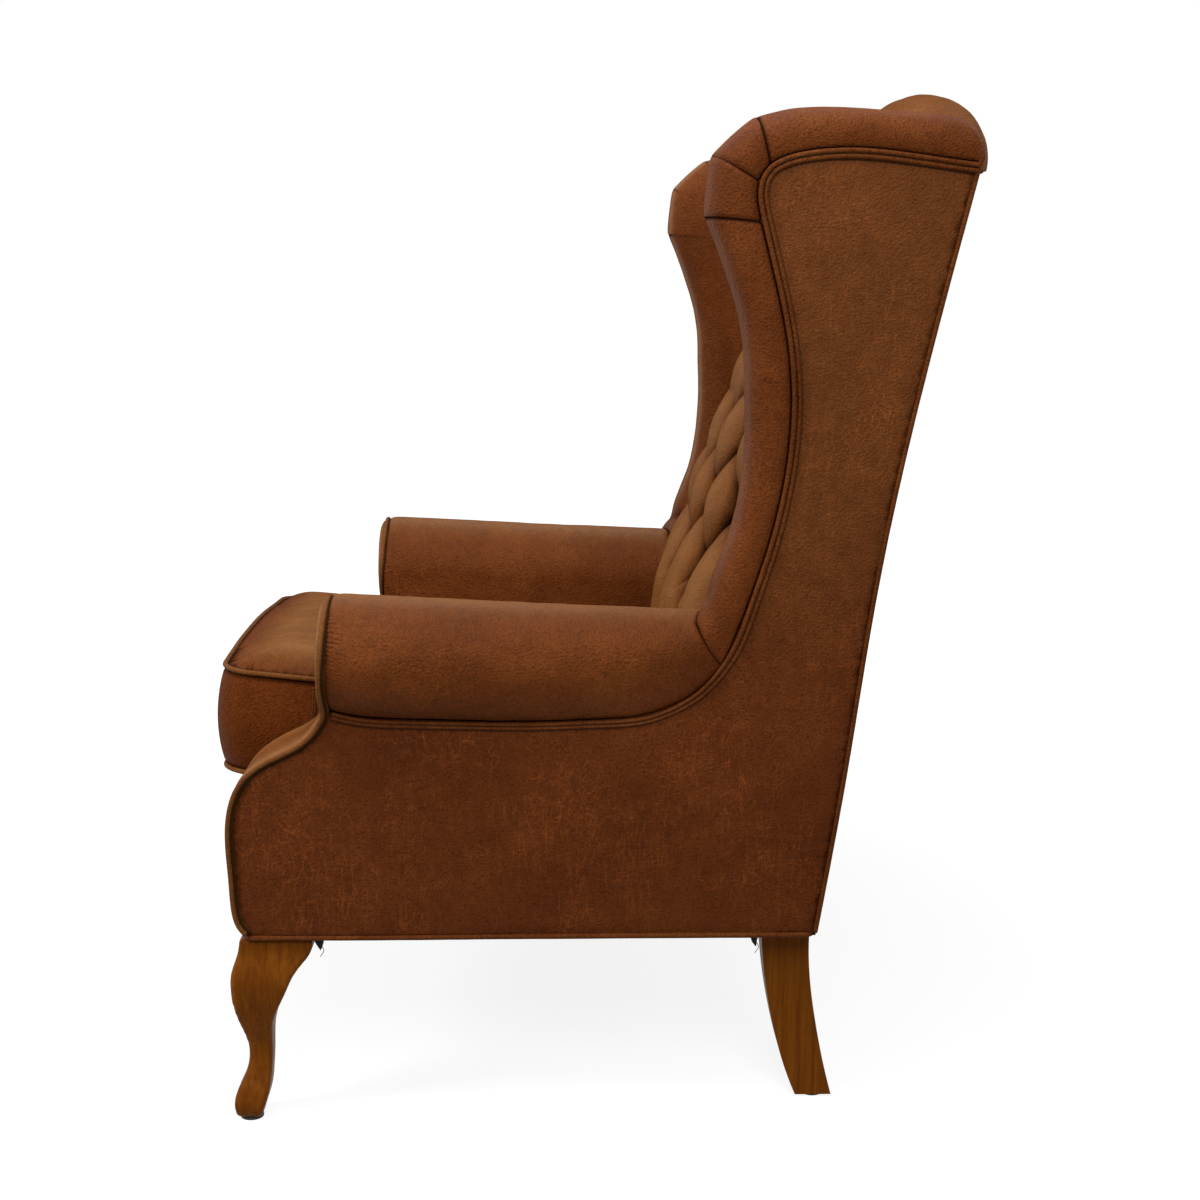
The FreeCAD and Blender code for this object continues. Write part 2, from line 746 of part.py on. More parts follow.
def build():
    nodes = {}
    rear_zone = behind_back(panel_thick + back_rail_thick + 2 * webbing_thick)
    outline = panel_outline(frame_inside_x, far)
    frame = side_frame()

    rail = front_rail()
    rear_rail = back_rail(base_z, rear_rail_top())
    lower_rail_z = rear_rail_top() + lower_rail_lift
    lower_rail = back_rail(lower_rail_z, lower_rail_z + lower_rail_height)
    crest_board = crest_rail()
    cross_frame = Part.makeCompound([rail, rear_rail, lower_rail, crest_board])
    deck = seat_deck(rear_zone)

    arm = arm_roll().fuse(arm_slab()).removeSplitter()
    low = block(-far, far, -far, far, -far, base_z + corner_block_height + slab_clearance)
    arm = arm.cut(outline).cut(rear_zone).cut(low).cut(cross_frame)
    wing = rounded_wing().cut(outline).cut(behind_wing()).cut(arm_roll())
    band = across(strip(rear_points(), -panel_thick - back_rail_thick - 2 * webbing_thick, 40), 0, panel_x)
    pipe = across(strip(rear_points(), -edge_piping, 1), frame_x, panel_x + 2)
    welt = double_welt().cut(pipe)
    wing = wing.cut(band).cut(arm).cut(pipe).cut(welt)
    arms = Part.makeCompound(both(arm))
    wings = Part.makeCompound(both(wing))
    crest_roll = crest().cut(crest_board).cut(wings)
    back = back_pad().common(arched_disc()).cut(rear_zone).cut(arms).cut(wings)
    back = back.cut(crest_roll).cut(below_deck()).cut(crest_board)

    block_top = base_z + corner_block_height
    bolt_top = block_top + bolt_above_block
    bolts = [upright(*front_bolt_place(), leg_bolt_radius, base_z - bolt_depth, bolt_top)]
    screws = [upright(x, y, rear_screw_radius, base_z - screw_depth, block_top + screw_above_block)
              for x, y in rear_screw_places()]
    fasteners = Part.makeCompound(bolts + screws)
    all_fasteners = Part.makeCompound([fasteners, mirrored(fasteners)])

    for name, shape in frame.items():
        nodes[name] = shape
    nodes["arm_pad"] = arm
    nodes["wing_pad"] = wing
    nodes["rear_piping"] = pipe
    nodes["outside_panel"] = panel_outline(frame_x, panel_x).cut(pipe)
    nodes["double_welt"] = welt
    panel = nodes["outside_panel"]
    nodes["arm_facing"] = facing().cut(Part.makeCompound([arm, frame["arm_stump"], panel, rail]))
    nodes["facing_piping"] = facing_pipe().cut(arm)
    nodes["front_leg"] = front_leg().cut(fasteners)
    nodes["rear_leg"] = rear_leg().cut(fasteners)
    sided = {}
    for name, shape in nodes.items():
        sided[name + "_left"] = shape
        sided[name + "_right"] = mirrored(shape)
    nodes = sided

    nodes["front_seat_rail"] = rail
    nodes["rear_seat_rail"] = rear_rail
    nodes["back_lower_rail"] = lower_rail
    nodes["crest_rail"] = crest_board
    front_blocks = corner_block(front_rail_rear_y(), 1)
    rear_inner = rear_y(base_z) - panel_thick - back_rail_thick
    rear_blocks = corner_block(rear_inner, -1)
    blocks = [front_blocks, rear_blocks, mirrored(front_blocks), mirrored(rear_blocks)]
    nodes["corner_blocks"] = [shape.cut(all_fasteners) for shape in blocks]
    nodes["leg_bolts"] = both(bolts[0])
    nut = upright(*front_bolt_place(), nut_radius, block_top, block_top + nut_thick).cut(bolts[0])
    nodes["tee_nuts"] = both(nut)
    nodes["rear_leg_screws"] = screws + [mirrored(shape) for shape in screws]
    nodes["seat_springs"] = seat_springs()
    nodes["spring_clips"] = spring_clips()
    nodes["back_webbing"] = back_webbing()
    nodes["seat_deck"] = deck
    nodes["back_pad"] = back
    nodes["crest_roll"] = crest_roll
    nodes["back_buttons"] = buttons()
    outside_back = across(strip(rear_points(), -panel_thick, 0), -frame_x, frame_x)
    nodes["outside_back"] = outside_back
    cord_zone = block(-far, far, -far, far, back_top_z - edge_piping, back_top_z)
    nodes["crest_piping"] = across(strip(rear_points(), 0, edge_piping), -frame_x, frame_x).common(cord_zone)
    border_x = panel_x - facing_width
    border = block(-border_x, border_x, base_front_y, base_front_y + border_thick, base_z,
                   deck_front_z - border_drop)
    facings = Part.makeCompound(both(nodes["arm_facing_left"]))
    border = border.cut(arms).cut(facings)
    nodes["front_border"] = border
    cover = block(-frame_x, frame_x, base_front_y + border_thick, rear_y(base_z) - panel_thick,
                  base_z - dust_cover_thick, base_z)
    nodes["dust_cover"] = cover.cut(all_fasteners)
    front_y = base_front_y + base_inset
    outer = block(-panel_x, panel_x, front_y, rear_foot_y, base_z - piping_size, base_z)
    inner = block(-panel_x + piping_size, panel_x - piping_size, front_y + piping_size,
                  rear_foot_y - piping_size, -far, far)
    nodes["base_piping"] = outer.cut(inner).cut(cover)
    nodes.update(cushion_pieces())
    glides = []
    for x, y in (front_foot(), rear_foot()):
        glides += both(upright(x, y, glide_radius, 0, glide_thick))
    nodes["foot_glides"] = glides
    return nodes


def solids_of(shape):
    if isinstance(shape, list):
        return [solid for piece in shape for solid in piece.Solids]
    return shape.Solids


nodes = {name: solids_of(shape) for name, shape in build().items()}
whole = Part.makeCompound([solid for solids in nodes.values() for solid in solids])
box = whole.optimalBoundingBox(False, False)
centring = Vector(0, -(box.YMin + box.YMax) / 2, 0)

os.makedirs("parts", exist_ok=True)
for name, solids in nodes.items():
    piece = Part.makeCompound(solids) if len(solids) > 1 else solids[0]
    piece.translate(centring)
    piece.exportStep("parts/" + name + ".step")
    size = piece.optimalBoundingBox(False, False)
    low = (round(size.XMin, 1), round(size.YMin, 1), round(size.ZMin, 1))
    high = (round(size.XMax, 1), round(size.YMax, 1), round(size.ZMax, 1))
    print(f"{name:24s} {len(solids):3d} valid={piece.isValid()} from {low} to {high}")
print("moved along Y by", round(centring.y, 2), "overall", box.XLength, box.YLength, box.ZMax)
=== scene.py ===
import json
import math

import bmesh
import bpy
import numpy as np
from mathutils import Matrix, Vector, geometry, noise


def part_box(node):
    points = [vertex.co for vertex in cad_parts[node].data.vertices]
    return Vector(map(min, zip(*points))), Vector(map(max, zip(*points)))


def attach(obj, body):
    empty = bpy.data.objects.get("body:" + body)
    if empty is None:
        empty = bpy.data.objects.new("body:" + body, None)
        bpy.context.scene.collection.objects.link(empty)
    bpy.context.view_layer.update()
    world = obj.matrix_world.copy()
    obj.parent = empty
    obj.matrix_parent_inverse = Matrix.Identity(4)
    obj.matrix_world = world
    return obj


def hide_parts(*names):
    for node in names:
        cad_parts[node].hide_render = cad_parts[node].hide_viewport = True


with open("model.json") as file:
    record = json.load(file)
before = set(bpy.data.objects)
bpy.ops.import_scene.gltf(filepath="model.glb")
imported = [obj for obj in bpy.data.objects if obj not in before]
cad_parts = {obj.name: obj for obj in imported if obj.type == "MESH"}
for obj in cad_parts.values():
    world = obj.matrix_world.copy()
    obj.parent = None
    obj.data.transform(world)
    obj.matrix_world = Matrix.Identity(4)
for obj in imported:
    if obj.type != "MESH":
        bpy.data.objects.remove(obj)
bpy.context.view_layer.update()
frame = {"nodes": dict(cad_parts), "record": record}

# Looks of a buttoned leather wing chair. Metres; the sitter faces -Y, +X is the sitter's left.
# Side pieces are made for the +X side and mirrored for the other.


def mm(points):
    """Places in metres from places written in millimetres."""
    return np.array(points, float) / 1000


# ---- Sizes and places ----

panel_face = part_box("outside_panel_left")[1].x
inside_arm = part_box("arm_pad_left")[0].x
wing_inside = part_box("wing_pad_left")[0].x
roll_radius = 0.072
roll_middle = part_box("arm_pad_left")[1].x - roll_radius
arm_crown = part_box("arm_pad_left")[1].z
arm_front = -0.2795
arm_fall = 0.020 / 0.420
base_low, base_high = (corner.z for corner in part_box("base_piping"))
back_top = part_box("outside_back")[1].z
crest_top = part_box("crest_roll")[1].z
crest_radius = 0.055
crest_rise = 0.040

seat_pitch = math.radians(6)
cushion_low, cushion_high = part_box("cushion_piping_bottom")
cushion_half = cushion_high.x
cushion_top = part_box("cushion_piping_top")[1].z
piping = 0.0035
cord_radius = 0.0027
rear_cord_radius = 0.0026
thick_cord_radius = 0.0030
panel_thickness = 0.0045
sides = {"left": 1, "right": -1}

button_column = 0.140
button_row = 0.078
button_first = 0.600
button_rows = 6

# Side-view outlines, as (Y, Z) in millimetres.
welt_points = mm([
    (-287, 478), (-256, 470), (-212, 466), (-140, 464), (-52, 463), (10, 465), (64, 470), (91, 480),
    (117, 496), (138, 518), (153, 541), (174, 595), (194, 658), (210, 731), (216, 814), (209, 883),
    (192, 957), (181, 1000), (177, 1020), (178, 1038), (186, 1053), (204, 1064), (236, 1071), (280, 1073),
    (318, 1070), (355, 1065), (407, 1058)])
wing_front_points = mm([
    (111, 559), (130, 603), (141, 631), (151, 657), (161, 695), (169, 767), (169, 810), (163, 889),
    (148, 941), (136, 976), (125, 1004)])
wing_facets = mm([(125, 1004), (131, 1067), (176, 1107)])
wing_top_points = mm([
    (176, 1107), (208, 1115), (265, 1117), (324, 1114), (372, 1110), (391, 1106), (403, 1098), (409, 1086),
    (410, 1073), (408, 1060)])
mitre_ends = mm([(178, 998), (175, 1040), (188, 1057)])
front_points = mm([
    (-287, 478), (-298, 458), (-316, 439), (-342, 425), (-366, 412), (-380, 400), (-390, 385),
    (-398, 359), (-400, 321), (-398, 283), (-396, 249), (-390, 229), (-382, 220)])
rear_points = mm([(254, 220), (285, 418), (310, 599), (346, 792), (408, 1058)])
rear_top_points = mm([(411, 1067), (411, 1077)])
back_points = mm([
    (70, 300), (84, 480), (92, 549), (103, 585), (119, 618), (132, 654), (141, 688), (163, 749),
    (191, 815), (225, 890), (262, 970), (297, 1050), (312, 1090)])


# ---- Lines and surfaces ----

def smooth_line(points, count):
    """Evenly spaced places on the natural cubic spline through the given ones."""
    points = np.array(points, float)
    gaps = np.linalg.norm(np.diff(points, axis=0), axis=1)
    reach = np.concatenate([[0], np.cumsum(gaps)])
    system = np.eye(len(points))
    change = np.zeros_like(points)
    for i in range(1, len(points) - 1):
        system[i, i - 1:i + 2] = gaps[i - 1], 2 * (gaps[i - 1] + gaps[i]), gaps[i]
        change[i] = 6 * ((points[i + 1] - points[i]) / gaps[i] - (points[i] - points[i - 1]) / gaps[i - 1])
    bend = np.linalg.solve(system, change)
    along = np.linspace(0, reach[-1], 12 * count)
    i = np.clip(np.searchsorted(reach, along) - 1, 0, len(gaps) - 1)
    after = (along - reach[i]) / gaps[i]
    before = 1 - after
    spread = (gaps[i] ** 2 / 6)[:, None]
    line = before[:, None] * points[i] + after[:, None] * points[i + 1]
    line += spread * ((before ** 3 - before)[:, None] * bend[i] + (after ** 3 - after)[:, None] * bend[i + 1])
    return even(line, count)


def lengths(line):
    return np.concatenate([[0], np.cumsum(np.linalg.norm(np.diff(line, axis=0), axis=1))])


def picked(places, reach, line):
    """Points at some lengths along a line, given the lengths of its own points."""
    return np.stack([np.interp(places, reach, values) for values in line.T], axis=1)


def even(line, count):
    """The same line with evenly spaced points."""
    reach = lengths(line)
    return picked(np.linspace(0, reach[-1], count), reach, line)


def on_side(line, x):
    """A side-view line of (Y, Z) as points in space at one X."""
    return np.column_stack([np.full(len(line), x), line])


def smooth_step(value, start, end):
    """0 at one value and 1 at the other, with a smooth change between them."""
    share = np.clip((value - start) / (end - start), 0, 1)
    return share * share * (3 - 2 * share)


def fade(distance, reach):
    """1 where the distance is 0, and quickly less beyond a reach."""
    return np.exp(-distance / reach)


def hump(distance, size):
    """1 where the distance is 0, with a round top and nothing past about two sizes."""
    return np.exp(-(distance / size) ** 2)


def unit(vectors):
    return vectors / np.maximum(np.linalg.norm(vectors, axis=-1, keepdims=True), 1e-12)


def rightward(line):
    """Unit directions square to a flat line, towards its right."""
    tangent = unit(np.gradient(line, axis=0))
    return np.column_stack([tangent[:, 1], -tangent[:, 0]])


def softened(line, times):
    """A line whose points have been drawn towards their neighbours."""
    for number in range(times):
        line[1:-1] = (line[:-2] + line[2:] + 2 * line[1:-1]) / 4
    return line


def rounded_loop(half, front, rear, radius, steps, count):
    """A rectangle with round corners, as evenly spaced places."""
    line = []
    for x, y, start in ((half, front, -90), (half, rear, 0), (-half, rear, 90), (-half, front, 180)):
        centre = np.array((x - math.copysign(radius, x), y + (radius if y == front else -radius)))
        turn = np.radians(np.linspace(start, start + 90, steps))
        line.append(centre + radius * np.column_stack([np.cos(turn), np.sin(turn)]))
    line = np.vstack(line + [line[0][:1]])
    return even(line, count + 1)[:-1]


def waves(points, size, seed=0.0):
    """Smooth chance bumps from -1 to 1, about one size across, at each point."""
    flat = points.reshape(-1, 3) / size + seed
    return np.array([noise.noise(Vector(place)) for place in flat]).reshape(points.shape[:-1])


def grid_normals(grid, row, column, axis):
    """Unit normals over a grid of points; at one row and column they point up the given axis."""
    normals = unit(np.cross(np.gradient(grid, axis=0), np.gradient(grid, axis=1)))
    return -normals if normals[row, column, axis] < 0 else normals


def new_piece(name, shape, side_name=None):
    """A smooth-shaded mesh object with its faces turned outwards; for the right side it is mirrored."""
    if side_name:
        name += "_" + side_name
    points, faces = shape
    mesh = bpy.data.meshes.new(name)
    places = np.array(points, float).reshape(-1, 3) * (sides.get(side_name, 1), 1, 1)
    mesh.from_pydata(places.tolist(), [], [list(map(int, face)) for face in faces])
    solid = bmesh.new()
    solid.from_mesh(mesh)
    bmesh.ops.recalc_face_normals(solid, faces=solid.faces)
    solid.to_mesh(mesh)
    solid.free()
    mesh.shade_smooth()
    piece = bpy.data.objects.new(name, mesh)
    bpy.context.scene.collection.objects.link(piece)
    return piece


def mark(piece, name, values):
    """Store a value at each point, or one value for them all, for the finish to use."""
    layer = piece.data.attributes.new(name, "FLOAT", "POINT")
    layer.data.foreach_set("value", np.broadcast_to(values, len(layer.data)).astype(np.float32))


def mark_rings(piece, name, values, rings, first=0):
    """Mark a piece made by ringed: values for its rings from the first on, and 0 for all other points."""
    grid = np.zeros(rings.shape[:2])
    grid[first:, :values.shape[1]] = values
    mark(piece, name, np.append(grid, (0, 0)))


def ringed(grid):
    """Points and faces of a solid whose rows are closed rings, with a cap on each end."""
    rows, columns = grid.shape[:2]
    faces = []
    for i in range(rows - 1):
        for j in range(columns):
            k = (j + 1) % columns
            faces.append((i * columns + j, i * columns + k, (i + 1) * columns + k, (i + 1) * columns + j))
    points = np.vstack([grid.reshape(-1, 3), grid[0].mean(axis=0), grid[-1].mean(axis=0)])
    first = rows * columns
    for j in range(columns):
        k = (j + 1) % columns
        faces.append((first, k, j))
        faces.append((first + 1, (rows - 1) * columns + j, (rows - 1) * columns + k))
    return points, faces


def between(front, behind):
    """The rings of a solid between two layers of points."""
    return np.concatenate([front, behind[:, ::-1]], axis=1)


def tube(line, radius, closed=False, corners=12, squeeze=1.0):
    """A cord along a line of points. radius may be a value or one for each point."""
    line = np.array(line, float)
    if closed:
        tangent = np.roll(line, -1, axis=0) - np.roll(line, 1, axis=0)
    else:
        tangent = np.gradient(line, axis=0)
    tangent = unit(tangent)
    no_cord_way = (0.3, 0.5, 0.81)
    side = np.cross(tangent[0], no_cord_way)
    angles = np.linspace(0, 2 * math.pi, corners, endpoint=False)
    radii = np.broadcast_to(radius, len(line))
    rings = []
    for place, along, size in zip(line, tangent, radii):
        side = side - along * np.dot(side, along)
        side /= np.linalg.norm(side)
        other = np.cross(along, side) * squeeze
        ring = place + size * (np.outer(np.cos(angles), side) + np.outer(np.sin(angles), other))
        rings.append(ring)
    grid = np.array(rings)
    if not closed:
        return ringed(grid)
    count = len(line)
    faces = []
    for i in range(count):
        after = (i + 1) % count
        shift = 0
        if after == 0:
            shift = int(np.argmin(np.linalg.norm(grid[0] - grid[-1][0], axis=1)))
        for j in range(corners):
            k = (j + 1) % corners
            faces.append((i * corners + j, i * corners + k, after * corners + (k + shift) % corners,
                          after * corners + (j + shift) % corners))
    return grid.reshape(-1, 3), faces


def cord(path, radius, unevenness=0.0, size=0.02, seed=0.0, closed=False):
    """A piping cord whose thickness varies a little along it."""
    return tube(path, radius * (1 + unevenness * waves(path, size, seed)), closed, corners=14)


def joined(parts):
    """Several (points, faces) shapes as one."""
    points = []
    faces = []
    total = 0
    for some_points, some_faces in parts:
        points.append(np.array(some_points, float).reshape(-1, 3))
        faces += [tuple(index + total for index in face) for face in some_faces]
        total += len(points[-1])
    return np.vstack(points), faces


def edge_distance(points, outline):
    """Distance of each flat point from a closed outline."""
    least = np.full(len(points), np.inf)
    for place, way in zip(outline, np.roll(outline, -1, axis=0) - outline):
        share = np.clip(((points - place) @ way) / max(way @ way, 1e-18), 0, 1)
        least = np.minimum(least, np.linalg.norm(points - place - share[:, None] * way, axis=1))
    return least


def inside(points, outline):
    """Which flat points lie inside a closed outline."""
    found = np.zeros(len(points), bool)
    for (x0, y0), (x1, y1) in zip(outline, np.roll(outline, -1, axis=0)):
        crosses = (y0 > points[:, 1]) != (y1 > points[:, 1])
        at = x0 + (points[:, 1] - y0) * (x1 - x0) / (y1 - y0 if y1 != y0 else 1e-12)
        found ^= crosses & (points[:, 0] < at)
    return found


def filled(outline, spacing):
    """A flat outline filled with rows of points: places, triangles and distances from the edge."""
    low = outline.min(axis=0)
    high = outline.max(axis=0)
    row_share = 0.87
    inner = []
    for number, height in enumerate(np.arange(low[1], high[1], spacing * row_share)):
        across = np.arange(low[0] + spacing * 0.5 * (number % 2), high[0], spacing)
        inner.append(np.column_stack([across, np.full(len(across), height)]))
    inner = np.vstack(inner)
    inner = inner[inside(inner, outline)]
    inner = inner[edge_distance(inner, outline) > 0.6 * spacing]
    places = np.vstack([outline, inner])
    count = len(outline)
    border = [(i, (i + 1) % count) for i in range(count)]
    found = geometry.delaunay_2d_cdt([Vector(place) for place in places], border, [], 1, 1e-7)
    places = np.array([tuple(place) for place in found[0]])
    return places, [tuple(face) for face in found[2]], edge_distance(places, outline)


def slab(front, back, triangles):
    """A closed solid between two layers of points that share their triangles."""
    count = len(front)
    faces = [tuple(face) for face in triangles]
    faces += [tuple(index + count for index in face[::-1]) for face in triangles]
    used = {}
    for face in triangles:
        for a, b in zip(face, face[1:] + face[:1]):
            used[(a, b)] = used.get((a, b), 0) + 1
    for a, b in used:
        if (b, a) not in used:
            faces.append((b, a, a + count, b + count))
    return np.vstack([front, back]), faces


# ---- Finishes ----

class Signal:
    """One value or colour in a material, on which ordinary sums work."""

    def __init__(self, finish, socket):
        self.finish = finish
        self.socket = socket

    def sum(self, operation, first, second):
        return self.finish.node("ShaderNodeMath", {"operation": operation}, {0: first, 1: second})

    def __add__(self, other):
        return self.sum("ADD", self, other)

    def __radd__(self, other):
        return self.sum("ADD", other, self)

    def __sub__(self, other):
        return self.sum("SUBTRACT", self, other)

    def __rsub__(self, other):
        return self.sum("SUBTRACT", other, self)

    def __mul__(self, other):
        return self.sum("MULTIPLY", self, other)

    def __rmul__(self, other):
        return self.sum("MULTIPLY", other, self)

    def __abs__(self):
        return self.finish.node("ShaderNodeMath", {"operation": "ABSOLUTE"}, {0: self})

    def output(self, name):
        """Another output of the same node."""
        return Signal(self.finish, self.socket.node.outputs[name])

    def sine(self):
        return self.finish.node("ShaderNodeMath", {"operation": "SINE"}, {0: self})

    def kept(self, low=0.0, high=1.0):
        """The value held between two limits and spread to 0..1."""
        values = {"Value": self, "From Min": low, "From Max": high}
        return self.finish.node("ShaderNodeMapRange", {"clamp": True}, values)


class Finish:
    """A material under construction, or the air round the chair."""

    def __init__(self, name, kind=bpy.data.materials):
        self.material = kind.new(name)
        self.material.use_nodes = True
        self.tree = self.material.node_tree
        self.tree.nodes.clear()

    def node(self, kind, settings=None, values=None, out=0):
        """Add a node: its settings, then the values or links of its inputs; returns one output."""
        node = self.tree.nodes.new(kind)
        for key, value in (settings or {}).items():
            if key == "stops":
                ramp = node.color_ramp.elements
                while len(ramp) < len(value):
                    ramp.new(0.5)
                for stop, (place, colour) in zip(ramp, value):
                    stop.position = place
                    stop.color = (*colour, 1)
            else:
                setattr(node, key, value)
        for key, value in (values or {}).items():
            socket = node.inputs[key]
            if isinstance(value, Signal):
                self.tree.links.new(value.socket, socket)
            elif socket.type == "RGBA" and len(value) == 3:
                socket.default_value = (*value, 1)
            else:
                socket.default_value = value
        return Signal(self, node.outputs[out] if len(node.outputs) else None)

    def place(self, scale=(1, 1, 1)):
        """Position on the piece, stretched along each axis."""
        here = self.node("ShaderNodeTexCoord", out="Object")
        return self.node("ShaderNodeVectorMath", {"operation": "MULTIPLY"}, {0: here, 1: scale})

    def speckle(self, where, scale, detail=3.0, rough=0.55):
        """Soft chance variation from 0 to 1."""
        values = {"Vector": where, "Scale": scale, "Detail": detail, "Roughness": rough}
        return self.node("ShaderNodeTexNoise", {}, values)

    def mix(self, share, first, second, how="MIX"):
        settings = {"data_type": "RGBA", "blend_type": how}
        return self.node("ShaderNodeMix", settings, {0: share, 6: first, 7: second}, out=2)

    def marked(self, name):
        """A value stored on the piece's points."""
        return self.node("ShaderNodeAttribute", {"attribute_name": name}, out="Fac")

    def bump(self, height, distance, strength=1.0, below=None):
        values = {"Height": height, "Distance": distance, "Strength": strength}
        if below is not None:
            values["Normal"] = below
        return self.node("ShaderNodeBump", {}, values)

    def surface(self, painted_shade=None, **values):
        """Finish with the main shader, whose sockets are named with underscores. Where painted_shade is high
        the finish turns to a matt near-black: painted shade for seams and hollows.
        """
        inputs = {key.replace("_", " "): value for key, value in values.items()}
        shader = self.node("ShaderNodeBsdfPrincipled", {}, inputs)
        if painted_shade is not None:
            # painted shade: hollows and seams turn to this matt near-black, which stands in for the shade
            # that falls in them
            shade = (0.0050, 0.0014, 0.0006)
            matt = self.node("ShaderNodeBsdfDiffuse", {}, {"Color": shade})
            shader = self.node("ShaderNodeMixShader", {}, {0: painted_shade, 1: shader, 2: matt})
        self.node("ShaderNodeOutputMaterial", {}, {"Surface": shader})
        return self.material


def scaled(colour, share):
    return tuple(part * share for part in colour)


def leather(name, dark, middle, light, veins, sheen, rough):
    """Waxed pull-up hide: soft clouds, fine grain, pale scratches and crackle; paler where worn and where
    light is painted on, with painted shade in gathers, seams and hollows.
    """
    finish = Finish(name)
    pulled_up_and_lit = (0.262, 0.114, 0.034)
    unworn = (0.80, 0.60, 0.50)
    here = finish.place()
    warp = finish.node("ShaderNodeTexNoise", {}, {"Vector": here, "Scale": 30.0, "Detail": 4.0}, out="Color")

    def bent(amount, scale=(1, 1, 1)):
        moved = finish.node("ShaderNodeVectorMath", {"operation": "SCALE"}, {0: warp, "Scale": amount})
        both = finish.node("ShaderNodeVectorMath", {"operation": "ADD"}, {0: here, 1: moved})
        return finish.node("ShaderNodeVectorMath", {"operation": "MULTIPLY"}, {0: both, 1: scale})

    def scratch(amount, scale, size, thin):
        return (1 - abs(finish.speckle(bent(amount, scale), size, 1.0, 0.5) - 0.5) * thin).kept()

    def net(amount, scale, size, thin):
        cells = {"Vector": bent(amount, scale), "Scale": size}
        edges = finish.node("ShaderNodeTexVoronoi", {"feature": "DISTANCE_TO_EDGE"}, cells)
        return (1 - edges * thin).kept()

    cloud = finish.speckle(here, 5.5, 4.0, 0.55).kept(0.32, 0.68)
    patch = finish.speckle(here, 34.0, 5.0, 0.62).kept(0.30, 0.70)
    fuzz = finish.speckle(bent(0.024), 95.0, 6.0, 0.72).kept(0.30, 0.70)
    fleck = finish.speckle(here, 760.0, 2.0, 0.7).kept(0.25, 0.75)
    tone = cloud * 0.32 + patch * 0.24 + fuzz * 0.14 + fleck * 0.34 - 0.02
    stops = [(0.2, dark), (0.5, middle), (0.8, light)]
    colour = finish.node("ShaderNodeValToRGB", {"stops": stops}, {0: tone})

    patches = finish.speckle(here, 7.5, 4.0, 0.6)
    upright = scratch(0.007, (1.0, 1.0, 0.12), 135.0, 24) * 0.55
    upright = upright + scratch(0.012, (1.0, 1.0, 0.3), 74.0, 40) * 0.35
    level = scratch(0.007, (0.5, 0.12, 1.0), 120.0, 26) * 0.30
    crackle = net(0.024, (1, 1, 1), 170.0, 13) * patches.kept(0.50, 0.62) * 0.45
    crackle = crackle + net(0.024, (1.0, 1.0, 0.45), 92.0, 15) * patches.kept(0.46, 0.60) * 0.60
    vein = (upright + level) * finish.speckle(here, 10.0, 5.0, 0.65).kept(0.44, 0.66) + crackle
    vein = (vein * (fuzz * 0.9 + 0.15) * veins).kept()
    colour = finish.mix(vein, colour, scaled(light, 1.8))

    cells = {"Vector": bent(0.012), "Scale": 460.0}
    pebbles = finish.node("ShaderNodeTexVoronoi", {"feature": "SMOOTH_F1"}, cells)
    colour = finish.mix(pebbles.kept(0.38, 0.75) * 0.50, colour, scaled(dark, 0.45))
    gathers = (finish.marked("gather_turn") * (2 * math.pi)).sine() * finish.marked("gather")
    # The pale pull-up tone is laid on by each piece's mark: wear in some places, and elsewhere painted light
    # from above and painted highlights.
    stretched = finish.marked("wear") * (patch * 0.3 + fuzz * 0.25 + fleck * 0.25 + 0.45)
    colour = finish.mix(stretched.kept(), colour, pulled_up_and_lit)
    # Painted shade: the troughs of the gathers and puckers are darkened.
    colour = finish.mix((gathers * -0.45).kept(), colour, scaled(dark, 0.5))
    colour = finish.mix(finish.marked("deep").kept(), colour, unworn, "MULTIPLY")
    # The seam mark darkens seam lines, and is also painted shade in grooves and in the pleats of the back;
    # where it is strongest the finish turns to a matt near-black.
    seam = finish.marked("seam").kept()
    colour = finish.mix(seam * 0.92, colour, scaled(dark, 0.12))

    grain = finish.bump(pebbles, 0.0011, 0.9)
    grain = finish.bump(gathers, 0.0016, 1.0, grain)
    grain = finish.bump(finish.speckle(bent(0.006), 300.0, 4.0, 0.7), 0.0012, 0.55, grain)
    grain = finish.bump(finish.speckle(here, 26.0, 3.0), 0.004, 0.18, grain)
    slanted = finish.node("ShaderNodeLayerWeight", {}, {"Blend": 0.5}, out="Facing")
    dull = rough + patch * 0.08 + fleck * 0.08 + seam * 0.25 - vein * 0.05 + slanted.kept(0.55, 1.0) * 0.45
    return finish.surface(painted_shade=seam * seam * 0.95, Base_Color=colour, Roughness=dull, Normal=grain,
                          Specular_IOR_Level=sheen, Specular_Tint=(1.0, 0.56, 0.34))


def wood(name, dark, light, gloss, lines, shine=0.18):
    """Straight-grained wood; the grain runs up the piece."""
    finish = Finish(name)
    broad = finish.speckle(finish.place((1.0, 1.0, 0.07)), 30.0, 3.0, 0.5)
    streaks = finish.speckle(finish.place((1.0, 1.0, 0.035)), 190.0, 4.0, 0.6).kept(0.3, 0.7)
    fine = finish.speckle(finish.place((1.0, 1.0, 0.08)), 620.0, 3.0, 0.6)
    pores = finish.speckle(finish.place((1.0, 1.0, 0.05)), 1100.0, 2.0).kept(0.56, 0.72)
    rings = (broad * 46).sine()
    tone = broad * 0.35 + streaks * 0.32 + (rings * 0.07 + 0.07) * lines + fine * 0.25
    colour = finish.node("ShaderNodeValToRGB", {"stops": [(0.25, dark), (0.80, light)]}, {0: tone})
    colour = finish.mix(pores * 0.40, colour, scaled(dark, 0.45))
    relief = finish.bump(fine - pores, 0.0003, 0.25)
    return finish.surface(Base_Color=colour, Roughness=gloss + fine * 0.15, Normal=relief,
                          Specular_IOR_Level=shine, Specular_Tint=(1.0, 0.72, 0.42))


